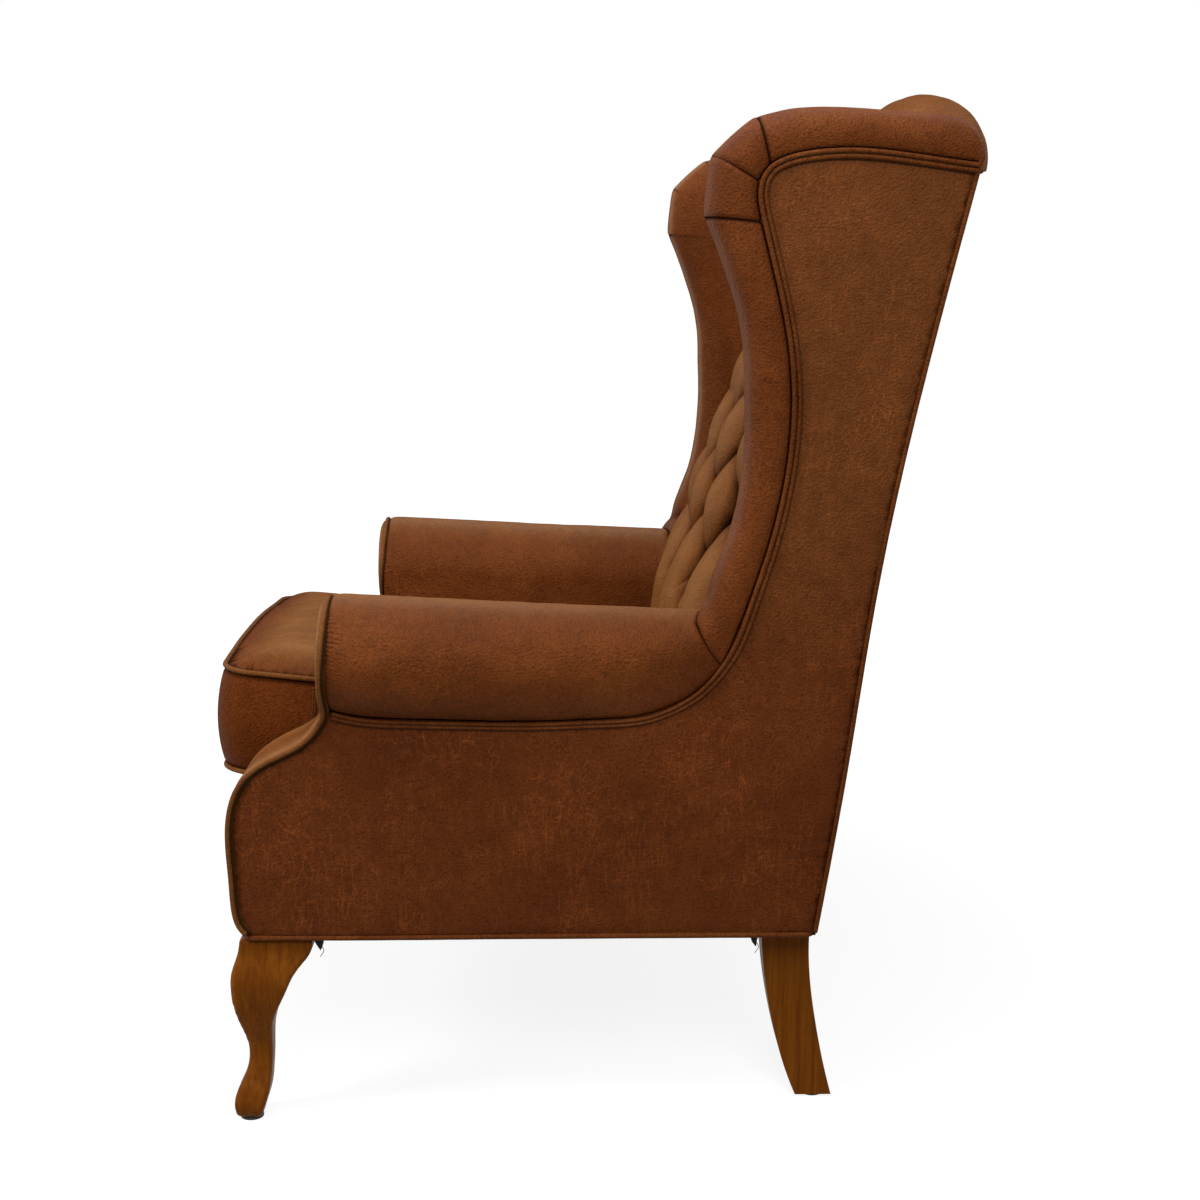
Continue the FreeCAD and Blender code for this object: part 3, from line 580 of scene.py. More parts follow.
def woven(name, dark, light, pitch, rough=0.85, relief=0.0003):
    """Plain weave with threads one pitch apart."""
    finish = Finish(name)
    turn = 2 * math.pi / pitch
    spread = finish.node("ShaderNodeSeparateXYZ", {}, {"Vector": finish.place()})
    warp = (spread * turn).sine()
    weft = ((spread.output("Y") + spread.output("Z")) * turn).sine()
    threads = (warp * weft * 0.5 + 0.5).kept()
    uneven = finish.speckle(finish.place(), 60.0, 4.0)
    colour = finish.mix((threads * 0.6 + uneven * 0.4).kept(0.2, 0.8), dark, light)
    return finish.surface(Base_Color=colour, Roughness=rough - threads * 0.1, Specular_IOR_Level=0.15,
                          Normal=finish.bump(threads, relief, 0.8))


def metal(name, dark, light, rough):
    """Drawn or pressed steel with fine scratches and a dull film."""
    finish = Finish(name)
    film = finish.speckle(finish.place(), 70.0, 4.0)
    scratch = finish.speckle(finish.place((1.0, 0.06, 1.0)), 900.0, 3.0)
    colour = finish.mix((film * 0.7 + scratch * 0.3).kept(0.25, 0.75), dark, light)
    return finish.surface(Base_Color=colour, Metallic=0.95, Roughness=rough + film * 0.2,
                          Normal=finish.bump(scratch, 0.0002, 0.3))


hide = leather("leather", (0.066, 0.0145, 0.0022), (0.100, 0.0232, 0.0038),
               (0.142, 0.0380, 0.0078), 0.5, 0.14, 0.38)
soft_hide = leather("soft_leather", (0.078, 0.0210, 0.0034), (0.115, 0.0330, 0.0062),
                    (0.160, 0.0530, 0.0118), 0.5, 0.06, 0.42)
side_hide = leather("side_leather", (0.062, 0.0130, 0.0022), (0.092, 0.0205, 0.0038),
                    (0.128, 0.0330, 0.0076), 1.0, 0.12, 0.42)
trim_hide = leather("trim_leather", (0.066, 0.0158, 0.0028), (0.100, 0.0262, 0.0054),
                    (0.142, 0.0430, 0.0112), 0.3, 0.08, 0.42)
leg_wood = wood("leg_wood", (0.086, 0.0190, 0.0008), (0.205, 0.0600, 0.0040), 0.36, 0.8, 0.10)
beech = wood("frame_wood", (0.28, 0.17, 0.085), (0.52, 0.37, 0.21), 0.62, 0.4)
plywood = wood("plywood", (0.30, 0.19, 0.10), (0.50, 0.36, 0.20), 0.7, 1.2)
black_cloth = woven("black_cloth", (0.003, 0.003, 0.003), (0.011, 0.010, 0.010), 0.0012)
deck_cloth = woven("deck_cloth", (0.030, 0.012, 0.006), (0.075, 0.032, 0.016), 0.0016)
jute = woven("webbing", (0.16, 0.10, 0.05), (0.36, 0.26, 0.15), 0.004, 0.9, 0.0006)
thread = woven("seam_thread", (0.016, 0.006, 0.003), (0.050, 0.018, 0.008), 0.0008)
steel = metal("steel", (0.10, 0.10, 0.105), (0.36, 0.36, 0.37), 0.34)
brass = metal("zip", (0.16, 0.10, 0.035), (0.42, 0.29, 0.11), 0.30)
nylon = woven("glide", (0.02, 0.018, 0.016), (0.05, 0.046, 0.042), 0.0008, 0.55, 0.00005)

# The finish that is first in each slot is also that of the frame's own parts.
finish_slots = {
    hide: "leather", soft_hide: "leather", side_hide: "side_leather", trim_hide: "trim_leather",
    leg_wood: "leg_wood",
    beech: "frame_wood", plywood: "plywood", black_cloth: "black_cloth", jute: "webbing", steel: "steel",
    brass: "zip", nylon: "glide", deck_cloth: "black_cloth", thread: "trim_leather"}


def settle(piece, finish, body, *stands_for):
    """Give a piece its finish, the body it moves with and the parts of the frame that it stands for."""
    piece.data.materials.clear()
    piece.data.materials.append(finish)
    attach(piece, body)
    if stands_for:
        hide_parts(*stands_for)


# ---- Arms ----

def welt_height(y):
    """Height of the seam under the arm's roll."""
    low = smooth_line(welt_points[:13], 400)
    return np.interp(y, low[:, 0], low[:, 1])


def s_curve(z):
    """Place of the facing's front along the chair at a height."""
    line = smooth_line(front_points, 300)
    order = np.argsort(line[:, 1])
    return np.interp(z, line[order, 1], line[order, 0])


roll_start = math.radians(34)        # where the seam with the wing starts, round the roll
roll_end = math.radians(113)         # where it ends


def arm_join(angle):
    """How far back the roll runs at an angle round it, to the seam with the wing."""
    upright = math.pi / 2
    outer = 0.116 + 0.028 * np.clip((upright - angle) / (upright - roll_start), 0, 1) ** 1.2
    inner = 0.009 * np.clip((angle - upright) / (roll_end - upright), 0, 1)
    return outer + inner


def arm_point(y, share):
    """A place on the roll, with share 0 at the seam on the outside and 1 at the inside of the arm."""
    middle = arm_crown - roll_radius - (y - arm_front) * arm_fall
    low = np.clip((welt_height(y) - middle) / roll_radius, -0.9, 0.9)
    first = np.arcsin(low)
    angle = first + share * (math.pi - first)
    seam_reach = (panel_face - roll_middle) / (roll_radius * np.cos(first))
    pull = smooth_step(angle, math.radians(72), first)
    reach = roll_radius * (1 + (seam_reach - 1) * pull)
    x = roll_middle + reach * np.cos(angle)
    return np.stack([x, y, middle + roll_radius * np.sin(angle)], axis=-1), angle


def rim_bow(z):
    """How far the seam between the roll and its facing stands forward, by height."""
    heights = (0.455, 0.474, 0.490, 0.505, 0.525, 0.545, 0.585)
    return np.interp(z, heights, (0, -0.0045, -0.0070, -0.0078, -0.0070, -0.0048, -0.0022))


def arm_cover(side_name):
    """The arm's roll and its inside face, with gathers where the roll meets the facing."""
    arc_count = 300
    wall_count = 50
    wall_low = 0.345
    share = np.linspace(0, 1, arc_count)
    rear_angle = roll_start + share * (math.pi - roll_start)
    join = arm_join(rear_angle)
    rear = join + 0.012 + 0.06 * smooth_step(rear_angle, roll_end, math.radians(130))
    # Rows lie close together at the facing and at the seam with the wing.
    steps = np.concatenate([np.linspace(0, 0.03, 26), np.linspace(0.03, 0.398, 62)[1:],
                            np.linspace(0.398, 0.42, 17)[1:]])
    steps = steps / steps[-1]
    y = arm_front + np.outer(steps, rear - arm_front)
    roll, angle = arm_point(y, share[None, :])
    past_join = smooth_step(y, join - 0.0025, join + 0.0045)

    fall = np.linspace(0, 1, wall_count + 1)[1:]
    front_z = arm_crown - roll_radius + (wall_low - arm_crown + roll_radius) * fall
    behind_curve = np.minimum(s_curve(front_z) + 0.013, arm_front)
    front_y = np.where(front_z < welt_points[0][1], behind_curve, arm_front)
    middle = arm_crown - roll_radius - (y[:, -1:] - arm_front) * arm_fall
    wall = np.zeros((len(steps), wall_count, 3))
    wall[:, :, 0] = inside_arm - 0.0015 * np.sin(math.pi * fall)
    wall[:, :, 1] = front_y + np.outer(steps, rear[-1] - front_y)
    wall[:, :, 2] = middle + (wall_low - middle) * fall
    surface = np.concatenate([roll, wall], axis=1)
    from_front = surface[:, :, 1] - surface[0, :, 1]
    surface[:, :, 1] += rim_bow(surface[:, :, 2]) * fade(from_front, 0.05)

    around = lengths(surface[0, :arc_count])
    from_front = surface[:, :, 1] - surface[0, :, 1]
    gather = np.zeros(surface.shape[:2])
    gather_pitch = 0.0052
    phase = 2 * math.pi * around / gather_pitch + 1.4 * np.sin(around * 90)
    gather[:, :arc_count] = (0.5 + 0.5 * np.cos(phase)) * (hump(np.degrees(angle[0]) - 38, 22) + 0.25)
    outward = grid_normals(surface, 0, arc_count // 2, 2)
    sink = 0.0016 * gather * fade(from_front, 0.009) + 0.0035 * fade(from_front, 0.0035)
    sink[:, :arc_count] += 0.0030 * fade(around, 0.006) + 0.0055 * past_join
    sink -= 0.0011 * waves(surface, 0.09) + 0.0005 * waves(surface, 0.025, 4.0)
    surface = surface - outward * sink[:, :, None]

    # The rings close inside the arm, and the front end is drawn in behind the facing.
    columns = [surface]
    for x, z in ((0.335, wall_low), (0.337, 0.44)):
        column = surface[:, -1:].copy()
        column[:, :, 0] = x
        column[:, :, 1] = np.maximum(column[:, :, 1], arm_front + 0.015)
        column[:, :, 2] = z
        columns.append(column)
    body = np.concatenate(columns, axis=1)
    lip = body[:1].copy()
    lip += (lip.mean(axis=1, keepdims=True) - lip) * (0.08, 0, 0.08)
    lip[:, :, 1] = np.maximum(lip[:, :, 1], arm_front) + 0.015
    rings = np.concatenate([lip, body])
    piece = new_piece("arm_cover", ringed(rings), side_name)
    # Dark along the seams with the facing and the welt, and painted shade over the part of the roll past the
    # seam with the wing, where it runs in under the wing.
    dark = fade(from_front, 0.0012)
    dark[:, :arc_count] += fade(around, 0.0013) + past_join
    mark_rings(piece, "seam", dark, rings, first=1)
    # Paler band along the crown: wear, and painted light from above.
    mark_rings(piece, "wear", 0.55 * hump(np.degrees(angle) - 96, 26), rings, first=1)
    settle(piece, hide, "frame", "arm_pad_" + side_name)


# ---- Wings ----

def nearest(line, place):
    return int(np.argmin(np.linalg.norm(line - place, axis=1)))


def wing_lines():
    """Matching places along the wing's front edge and its welt, with the rows that lie on mitres."""
    welt = smooth_line(welt_points, 1600)
    arm_end = mm((144, 546))
    stops = [nearest(welt, place) for place in (arm_end, *mitre_ends)] + [len(welt) - 1]
    edges = [smooth_line(wing_front_points, 400), wing_facets[:2], wing_facets[1:],
             smooth_line(wing_top_points, 200)]
    # Rows lie close together where the wing meets the arm, and next to each mitre of the facets.
    spreads = [np.linspace(0, 1, count) for count in (110, 26, 24, 64)]
    spreads[0] = spreads[0] * (1 - 0.8 * (1 - spreads[0]) ** 8)
    for index in (1, 2):
        spreads[index] = 0.5 - 0.5 * np.cos(math.pi * spreads[index])
    dense = 400
    edge_rows = []
    welt_rows = []
    mitres = []
    for index, spread in enumerate(spreads):
        # Along the top the welt's places run ahead of the edge's, and the last ones are all at its end.
        ahead = np.minimum(spread / 0.80, 1) if index == 3 else spread
        if index:
            mitres.append(len(edge_rows) - 1)
        for line, places, rows in ((edges[index], spread, edge_rows),
                                   (welt[stops[index]:stops[index + 1] + 1], ahead, welt_rows)):
            found = picked(places, np.linspace(0, 1, dense), even(line, dense))
            rows += list(found[1:] if index else found)
    return np.array(edge_rows), np.array(welt_rows), mitres


def wing_cover(side_name):
    """The padded wing: its roll from the welt round the front edge, with mitres, and its inside face."""
    edge, welt, mitres = wing_lines()
    rows = len(edge)
    turn = np.linspace(0, math.pi, 72)
    middle = (panel_face + wing_inside) / 2
    half = (panel_face - wing_inside) / 2
    along = lengths(edge)
    across = np.sign(np.cos(turn)) * np.abs(np.cos(turn)) ** 0.82
    depth = np.sin(turn) ** 0.86
    bulge = 0.005 * np.clip(np.sin(2 * turn), 0, 1) * (turn < math.pi / 2)
    x = middle + half * across + bulge
    roll = np.zeros((rows, len(turn), 3))
    roll[:, :, 0] = x
    roll[:, :, 1:] = welt[:, None, :] + (edge - welt)[:, None, :] * depth[None, :, None]
    join_angle = np.linspace(roll_start, roll_end, len(turn))
    join = arm_point(arm_join(join_angle), (join_angle - roll_start) / (math.pi - roll_start))[0]
    near_arm = 1 - smooth_step(along, 0, 0.07)
    roll = roll + near_arm[:, None, None] * (join - roll[0])

    spine = np.column_stack([np.interp(welt[:, 1], back_points[:, 1], back_points[:, 0]) + 0.06, welt[:, 1]])
    top_anchor = mm((368, 1060))
    to_anchor = smooth_step(along, along[mitres[0]] - 0.1, along[mitres[2]])
    spine = spine + (top_anchor - spine) * to_anchor[:, None]
    spread = np.linspace(0, 1, 26)[1:]
    wall = np.zeros((rows, len(spread), 3))
    wall[:, :, 0] = wing_inside - 0.003 * np.sin(math.pi * np.minimum(spread * 1.4, 1))
    wall[:, :, 1:] = roll[:, -1:, 1:] + (spine - roll[:, -1, 1:])[:, None, :] * spread[None, :, None]
    surface = np.concatenate([roll, wall], axis=1)

    outward = grid_normals(surface, rows // 2, 10, 0)

    def row_of(values, on_wall=0.0):
        return np.concatenate([values, np.full(len(spread), on_wall)])

    near_welt = row_of(lengths(np.column_stack([x, depth * 0.05])), 1.0)
    sink = np.tile(0.0025 * fade(near_welt, 0.005), (rows, 1))
    dark = np.tile(fade(near_welt, 0.0012), (rows, 1))
    sewn = row_of(smooth_step(turn, math.radians(128), math.radians(104)))
    dented = row_of(smooth_step(turn, math.radians(98), math.radians(70)))
    for row in mitres:
        away = np.linalg.norm(surface - surface[row], axis=2)
        sink += 0.0020 * hump(away, 0.0024) * dented
        dark = np.maximum(dark, hump(away, 0.0008) * sewn)
    for first, last in zip(mitres, mitres[1:]):
        part = np.zeros(rows)
        part[first:last + 1] = np.sin(math.pi * np.linspace(0, 1, last + 1 - first)) ** 0.8
        sink -= 0.0025 * np.outer(part, row_of(np.sin(turn)))
    away = np.linalg.norm(surface - surface[0], axis=2)
    sink += 0.0012 * hump(away, 0.003)
    dark = np.maximum(dark, hump(away, 0.0010))
    sink -= 0.0012 * waves(surface, 0.08, 9.0) + 0.0005 * waves(surface, 0.024, 2.0)
    surface = surface - outward * sink[:, :, None]

    # The rings close inside the wing.
    inner = surface[:, -1:].copy()
    outer = surface[:, :1].copy()
    inner[:, :, 0] = outer[:, :, 0] = wing_inside + 0.02
    rings = np.concatenate([surface, inner, outer], axis=1)
    piece = new_piece("wing_cover", ringed(rings), side_name)
    mark_rings(piece, "seam", dark, rings)
    degrees = np.degrees(turn)
    # Painted light: a pale band over the top of the roll stands in for light from above, and a narrower one
    # at about 107 degrees is a painted highlight along the front edge.
    light = row_of(0.24 * hump(degrees - 92, 18) + 0.55 * hump(degrees - 107, 10))
    mark_rings(piece, "wear", light * smooth_step(along, 0.01, 0.16)[:, None], rings)
    settle(piece, hide, "frame", "wing_pad_" + side_name)


# ---- Outside panels and their welt ----

def welt_frame():
    """The welt's middle line, and the way across it towards the panel."""
    line = smooth_line(welt_points, 900)[6:-1]
    return line, rightward(line)


def panel_outline():
    """The flat outline of the outside panel; its edge runs on a little under the welt."""
    tuck = 0.0025
    front = smooth_line(front_points, 110)[::-1] + (0.0038, 0)
    welt, inward = welt_frame()
    rear = smooth_line(rear_points, 200)[::-1]
    outline = np.vstack([front[front[:, 1] < 0.470], welt - tuck * inward, rear[1:]])
    outline[:, 1] -= 0.0046 * smooth_step(outline[:, 1], base_high + 0.010, base_high)
    return even(np.vstack([outline, outline[:1]]), 700)[:-1]


def side_panel(side_name):
    places, triangles, far_in = filled(panel_outline(), 0.0075)
    spots = on_side(places, panel_face)
    round_front = 0.0030 * smooth_step(places[:, 0], -0.34, -0.40) * fade(far_in, 0.020)
    lift = 0.0014 * waves(spots, 0.16) + 0.0006 * waves(spots, 0.05, 3.0)
    lift -= round_front + 0.0036 * fade(far_in, 0.008) + 0.0005
    front = on_side(places, panel_face + np.minimum(lift, 0.0015))
    back = on_side(places, panel_face - panel_thickness)
    piece = new_piece("side_panel", slab(front, back, triangles), side_name)
    mark(piece, "seam", np.tile(0.6 * fade(far_in, 0.0018), 2))
    # Painted light: the panel grows paler towards the top, standing in for the overhead light's sheen.
    mark(piece, "wear", np.tile(0.15 * smooth_step(places[:, 1], 0.44, 0.74), 2))
    settle(piece, side_hide, "frame", "outside_panel_" + side_name)


def welt_cords(side_name):
    """Two cords side by side on the seam, and the stitches that hold them; narrower along the arm."""
    line, inward = welt_frame()
    narrow = 0.76 + 0.24 * smooth_step(line[:, 1], 0.465, 0.56)
    inward = inward * narrow[:, None]
    cords = []
    for offset, height in ((0.0024, 0.0010), (0.0082, 0.0004)):
        path = on_side(line + inward * offset, panel_face + height)
        cords.append(cord(path, cord_radius * narrow, 0.05, 0.02, 5.0))
    settle(new_piece("welt_cords", joined(cords), side_name), trim_hide, "frame", "double_welt_" + side_name)

    stitch_pitch = 0.0052
    stitch_length = 0.0036
    stitches = []
    for offset, height in ((0.0053, 0.0016), (0.0112, 0.000361)):
        path = even(on_side(line + inward * offset, panel_face + height), 5200)
        reach = lengths(path)
        for start in np.arange(0.002, reach[-1] - 0.006, stitch_pitch):
            first, last = np.searchsorted(reach, (start, start + stitch_length))
            run = path[first:last][::2]
            if len(run) > 3:
                arch = np.sin(math.pi * np.linspace(0, 1, len(run)))
                run = run + np.outer(arch * 0.0004, (1, 0, 0))
                stitches.append(tube(run, 0.00035 + 0.0001 * arch, corners=6))
    settle(new_piece("welt_stitches", joined(stitches), side_name), thread, "frame")


def rear_cord(side_name):
    """The cord down the rear edge, between the outside panel and the outside back."""
    line = smooth_line(np.vstack([smooth_line(rear_points, 60), rear_top_points]), 330)
    path = on_side(line + (-0.0008, 0), panel_face - 0.0012)
    path[:, 0] -= 0.010 * smooth_step(path[:, 2], back_top + 0.006, back_top + 0.020)
    piece = new_piece("rear_cord", cord(path, rear_cord_radius, 0.04), side_name)
    settle(piece, trim_hide, "frame", "rear_piping_" + side_name)


# ---- Arm facings ----

facing_rim = -0.2835
scroll_radius = roll_radius - 0.003


def facing_profile():
    """The facing's rim seen from the side, from the crown down, as places and outward directions."""
    heights = np.linspace(arm_crown, 0.485, 40)
    upright = np.column_stack([facing_rim + rim_bow(heights), heights])
    lower = smooth_line(front_points, 240) + (0.0014, 0)
    line = softened(even(np.vstack([upright, lower[lower[:, 1] < 0.472]]), 500), 40)
    return line, rightward(line)


def facing_outline():
    """The flat shape of the facing, as (X, distance down its front), from the foot of its outer side."""
    end = lengths(facing_profile()[0])[-1]
    outer = panel_face - 0.002
    inner = panel_face - 0.100
    stem_right = np.column_stack([np.full(80, outer), np.linspace(end, 0.140, 80)])
    turn = np.radians(np.linspace(39, -218, 120))
    scroll = (roll_middle, roll_radius) + scroll_radius * np.column_stack([np.cos(turn), np.sin(turn)])
    down = np.linspace(0.135, end, 80)
    stem_left = np.column_stack([inner - 0.012 * smooth_step(down, 0.26, 0.20), down])
    return softened(even(np.vstack([stem_right, scroll[scroll[:, 1] < 0.118], stem_left]), 400), 14)


def on_facing(places, height):
    """Points in space from (X, distance down) and a height off the facing's rim."""
    line, outward = facing_profile()
    at, way = (picked(places[:, 1], lengths(line), values) for values in (line, outward))
    return np.column_stack([places[:, 0], at + way * np.broadcast_to(height, len(places))[:, None]])


def facing_cover(side_name):
    """The padded front of the arm, full at the scroll and flatter down the S-curve."""
    places, triangles, far_in = filled(facing_outline(), 0.0042)
    down = places[:, 1]
    full = 0.0125 - 0.0085 * smooth_step(down, 0.09, 0.17) - 0.0025 * smooth_step(down, 0.22, 0.32)
    full += rim_bow(on_facing(places, 0.0)[:, 2])
    rise = full * np.sqrt(1 - (1 - np.clip(far_in / 0.020, 0, 1)) ** 2)
    flat = np.column_stack([places, np.zeros(len(places))])
    uneven = 0.0009 * waves(flat, 0.05, 6.0) + 0.0004 * waves(flat, 0.016, 2.0)
    rise += uneven * np.clip(far_in / 0.01, 0, 1)
    back = on_facing(places, -0.006 - 0.014 * smooth_step(places[:, 0], panel_face - 0.05, panel_face - 0.09))
    piece = new_piece("facing_cover", slab(on_facing(places, rise), back, triangles), side_name)
    mark(piece, "seam", np.tile(0.8 * fade(far_in, 0.0012), 2))
    mark(piece, "wear", np.tile(0.95 * fade(far_in, 0.03), 2))
    settle(piece, hide, "frame", "arm_facing_" + side_name)


def facing_cord(side_name):
    path = on_facing(even(facing_outline()[1:-1], 700), 0.0) + (0.0008, 0, 0)
    piece = new_piece("facing_cord", cord(path, cord_radius, 0.05, 0.03, 8.0), side_name)
    mark(piece, "wear", 0.3)
    settle(piece, trim_hide, "frame", "facing_piping_" + side_name)


# ---- Back, crest and buttons ----

def back_front(z):
    line = smooth_line(back_points, 400)
    return np.interp(z, line[:, 1], line[:, 0])


def puff(x, z):
    """How full the buttoned back is at a place: 1 on a cushion's middle and 0 in a pleat."""
    p = x / button_column
    q = (z - button_first) / (2 * button_row)
    last = (button_rows - 1) / 2
    diamond = (np.abs(np.sin(math.pi * (p + q))) * np.abs(np.sin(math.pi * (p - q)))) ** 0.34
    low = np.abs(np.sin(math.pi * p)) ** 0.36
    high = np.abs(np.cos(math.pi * p)) ** 0.36
    below = smooth_step(q, 0.02, -0.30)
    above = smooth_step(q, last - 0.02, last + 0.28)
    return diamond * (1 - below) * (1 - above) + low * below + high * above


def button_places():
    places = []
    for row in range(button_rows):
        count = 4 if row % 2 else 3
        for column in range(count):
            places.append(((column - (count - 1) / 2) * button_column, button_first + row * button_row))
    return places


pleat_depth = 0.036


def back_bow(x):
    """How far a place beside the middle of the back lies behind it."""
    return 0.024 * (x / 0.25) ** 2


def back_cover():
    """The deep-buttoned back: diamonds between the buttons, and upright channels above and below them."""
    half = wing_inside + 0.004
    x, z = np.meshgrid(np.linspace(-half, half, 330), np.linspace(0.355, 1.088, 380))
    full = puff(x, z)
    y = back_front(z) + pleat_depth * (1 - full) + back_bow(x)
    y += 0.018 * smooth_step(np.abs(x), half - 0.045, half) ** 1.5
    for across, high in button_places():
        y += 0.007 * hump(np.hypot(x - across, z - high), 0.016)
    grid = np.stack([x, y, z], axis=-1)
    y = y + 0.0016 * waves(grid, 0.07, 3.0) * full + 0.0006 * waves(grid, 0.02, 7.0)
    y += 0.0013 * waves(grid * (1, 1, 0.2), 0.020, 5.0) * smooth_step(full, 0.3, 0.7)
    rings = between(np.stack([x, y, z], axis=-1), np.stack([x, back_front(z) + 0.095, z], axis=-1))
    piece = new_piece("back_cover", ringed(rings))
    # Painted shade: the pleats are darkened, turning to a matt near-black at their bottoms. The puffs are
    # paler towards their crowns: wear, and painted light.
    mark_rings(piece, "seam", 0.95 * (1 - smooth_step(full, 0.32, 0.72)), rings)
    mark_rings(piece, "wear", 0.55 * smooth_step(full, 0.5, 0.95), rings)
    settle(piece, soft_hide, "frame", "back_pad")


def button_caps():
    """Leather-covered domed buttons, pulled down to the bottom of the pleats."""
    radius = 0.012
    angles = np.linspace(0, 2 * math.pi, 28, endpoint=False)
    side = np.array((1, 0, 0))
    caps = []
    for across, high in button_places():
        slope = (back_front(high + 0.01) - back_front(high - 0.01)) / 0.02
        axis = np.array((0, -1, slope)) / math.hypot(1, slope)
        circle = np.outer(np.cos(angles), side) + np.outer(np.sin(angles), np.cross(axis, side))
        centre = np.array((across, back_front(high) + pleat_depth + 0.004 + back_bow(across), high))
        rings = []
        for turn in np.linspace(-0.5, 1.5, 12):
            width = radius * math.cos(turn) ** 0.8 if turn > 0 else radius * (1 + 0.25 * turn)
            rise = 0.0065 * math.sin(max(turn, 0)) + 0.003 * min(turn, 0)
            rings.append(centre + axis * rise + width * circle)
        caps.append(ringed(np.array(rings)))
    settle(new_piece("button_caps", joined(caps)), trim_hide, "frame", "back_buttons")


rear_top = rear_points[-1][0]
# The crest's folds: place across, how far the fold leans as it goes round, and how deep it is.
crest_folds = ((-0.285, 1.6, 1.2), (-0.235, 1.0, 1.0), (-0.17, 0.6, 0.6), (-0.09, -0.3, 0.5),
               (0.04, 0.35, 0.5), (0.13, -0.5, 0.7), (0.20, -0.9, 1.0), (0.25, -1.4, 1.1),
               (0.29, -1.9, 1.3))


def crest_cover():
    """The arched roll on top of the back, wrapped over to the rear."""
    half = wing_inside + 0.040
    xs = np.linspace(-half, half, 200)
    turns = np.linspace(math.radians(-62), math.radians(235), 110)
    x = xs[:, None]
    end = smooth_step(np.abs(x), wing_inside - 0.05, half)
    radius = crest_radius * (1 - 0.62 * end ** 2)
    middle_y = rear_top + 0.050 - crest_radius - 0.30 * x * x
    middle_z = crest_top - 0.003 - crest_radius - crest_rise * (x / wing_inside) ** 2 - 0.008 * end
    surface = np.zeros((len(xs), len(turns), 3))
    surface[:, :, 0] = x
    surface[:, :, 1] = middle_y + 1.06 * radius * np.cos(turns)
    surface[:, :, 2] = middle_z + radius * np.sin(turns)
    foot = back_top - 0.002
    low = (surface[:, :, 2] < foot) & (surface[:, :, 1] > rear_top - 0.03)
    surface[:, :, 2] = np.where(low, foot, surface[:, :, 2])
    outward = grid_normals(surface, len(xs) // 2, 60, 2)
    fold = np.zeros(surface.shape[:2])
    for place, lean, size in crest_folds:
        fold += size * hump(surface[:, :, 0] - place - lean * 0.03 * np.sin(turns), 0.006)
    fold *= smooth_step(turns, math.radians(160), math.radians(80))
    sink = 0.0040 * fold - 0.0022 * waves(surface, 0.07, 1.0) - 0.0008 * waves(surface, 0.02, 5.0)
    surface = surface - outward * sink[:, :, None]
    piece = new_piece("crest_cover", ringed(surface))
    mark_rings(piece, "wear", np.full(surface.shape[:2], 0.14), surface)
    settle(piece, soft_hide, "frame", "crest_roll")


def crest_cord():
    end = panel_face - 0.011
    y = rear_top - 0.0004
    z = back_top - 0.0028
    path = np.linspace((-end, y, z), (end, y, z), 160)
    settle(new_piece("crest_cord", cord(path, cord_radius)), trim_hide, "frame", "crest_piping")


def outside_back():
    """The flat leather panel behind the back, stretched between its cords."""
    line = smooth_line(rear_points, 130)
    outward = rightward(line)
    edge = panel_face - 0.005
    xs = np.linspace(-edge, edge, 130)
    reach = lengths(line)
    near = np.minimum(edge - np.abs(xs), np.minimum(reach, reach[-1] - reach)[:, None])
    front = np.zeros((len(line), len(xs), 3))
    front[:, :, 0] = xs
    front[:, :, 1:] = line[:, None, :]
    lift = 0.0015 * (1 - fade(near, 0.05)) - 0.0025 * fade(near, 0.005)
    lift += 0.0012 * waves(front, 0.17, 2.0) + 0.0004 * waves(front, 0.05)
    front[:, :, 1:] += outward[:, None, :] * lift[:, :, None]
    behind = front.copy()
    behind[:, :, 1:] -= outward[:, None, :] * panel_thickness
    rings = between(front, behind)
    piece = new_piece("back_panel", ringed(rings))
    mark_rings(piece, "seam", fade(near, 0.003), rings)
    settle(piece, side_hide, "frame", "outside_back")


# ---- Base ----

def base_cord():
    """The cord round the base's lower edge."""
    inset = 0.003
    front = front_points[-1][0] - 0.004 + inset
    loop = rounded_loop(panel_face - inset, front, rear_points[0][0] - inset, 0.010, 8, 700)
    path = np.column_stack([loop, np.full(len(loop), (base_low + base_high) / 2)])
    path[:, 2] += 0.0006 * waves(path, 0.12)
    piece = new_piece("base_cord", cord(path, thick_cord_radius, 0.05, 0.03, closed=True))
    settle(piece, trim_hide, "frame", "base_piping")


def border_cover():
    """The padded band under the cushion's front edge."""
    low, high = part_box("front_border")
    end = high.x - 0.0005
    xs = np.linspace(-end, end, 130)[:, None]
    angle = np.linspace(-math.pi / 2, math.pi / 2, 60)
    front = np.zeros((len(xs), len(angle), 3))
    front[:, :, 0] = xs
    front[:, :, 1] = high.y - (high.y - low.y) * np.cos(angle) ** 0.35 + 0.004 * fade(end - np.abs(xs), 0.008)
    front[:, :, 2] = (high.z + low.z) / 2 + (high.z - low.z) / 2 * np.sin(angle)
    front[:, :, 1] += 0.0012 * waves(front, 0.08)
    piece = new_piece("border_cover", ringed(front))
    settle(piece, hide, "frame", "front_border")


def flat_grid(low, high, counts):
    """A grid over a rectangle: X, Y and how far each place is from the edge."""
    xs, ys = (np.linspace(low[k], high[k], counts[k]) for k in (0, 1))
    x, y = np.meshgrid(xs, ys, indexing="ij")
    return x, y, np.minimum(high[0] - np.abs(x), np.minimum(y - low[1], high[1] - y))


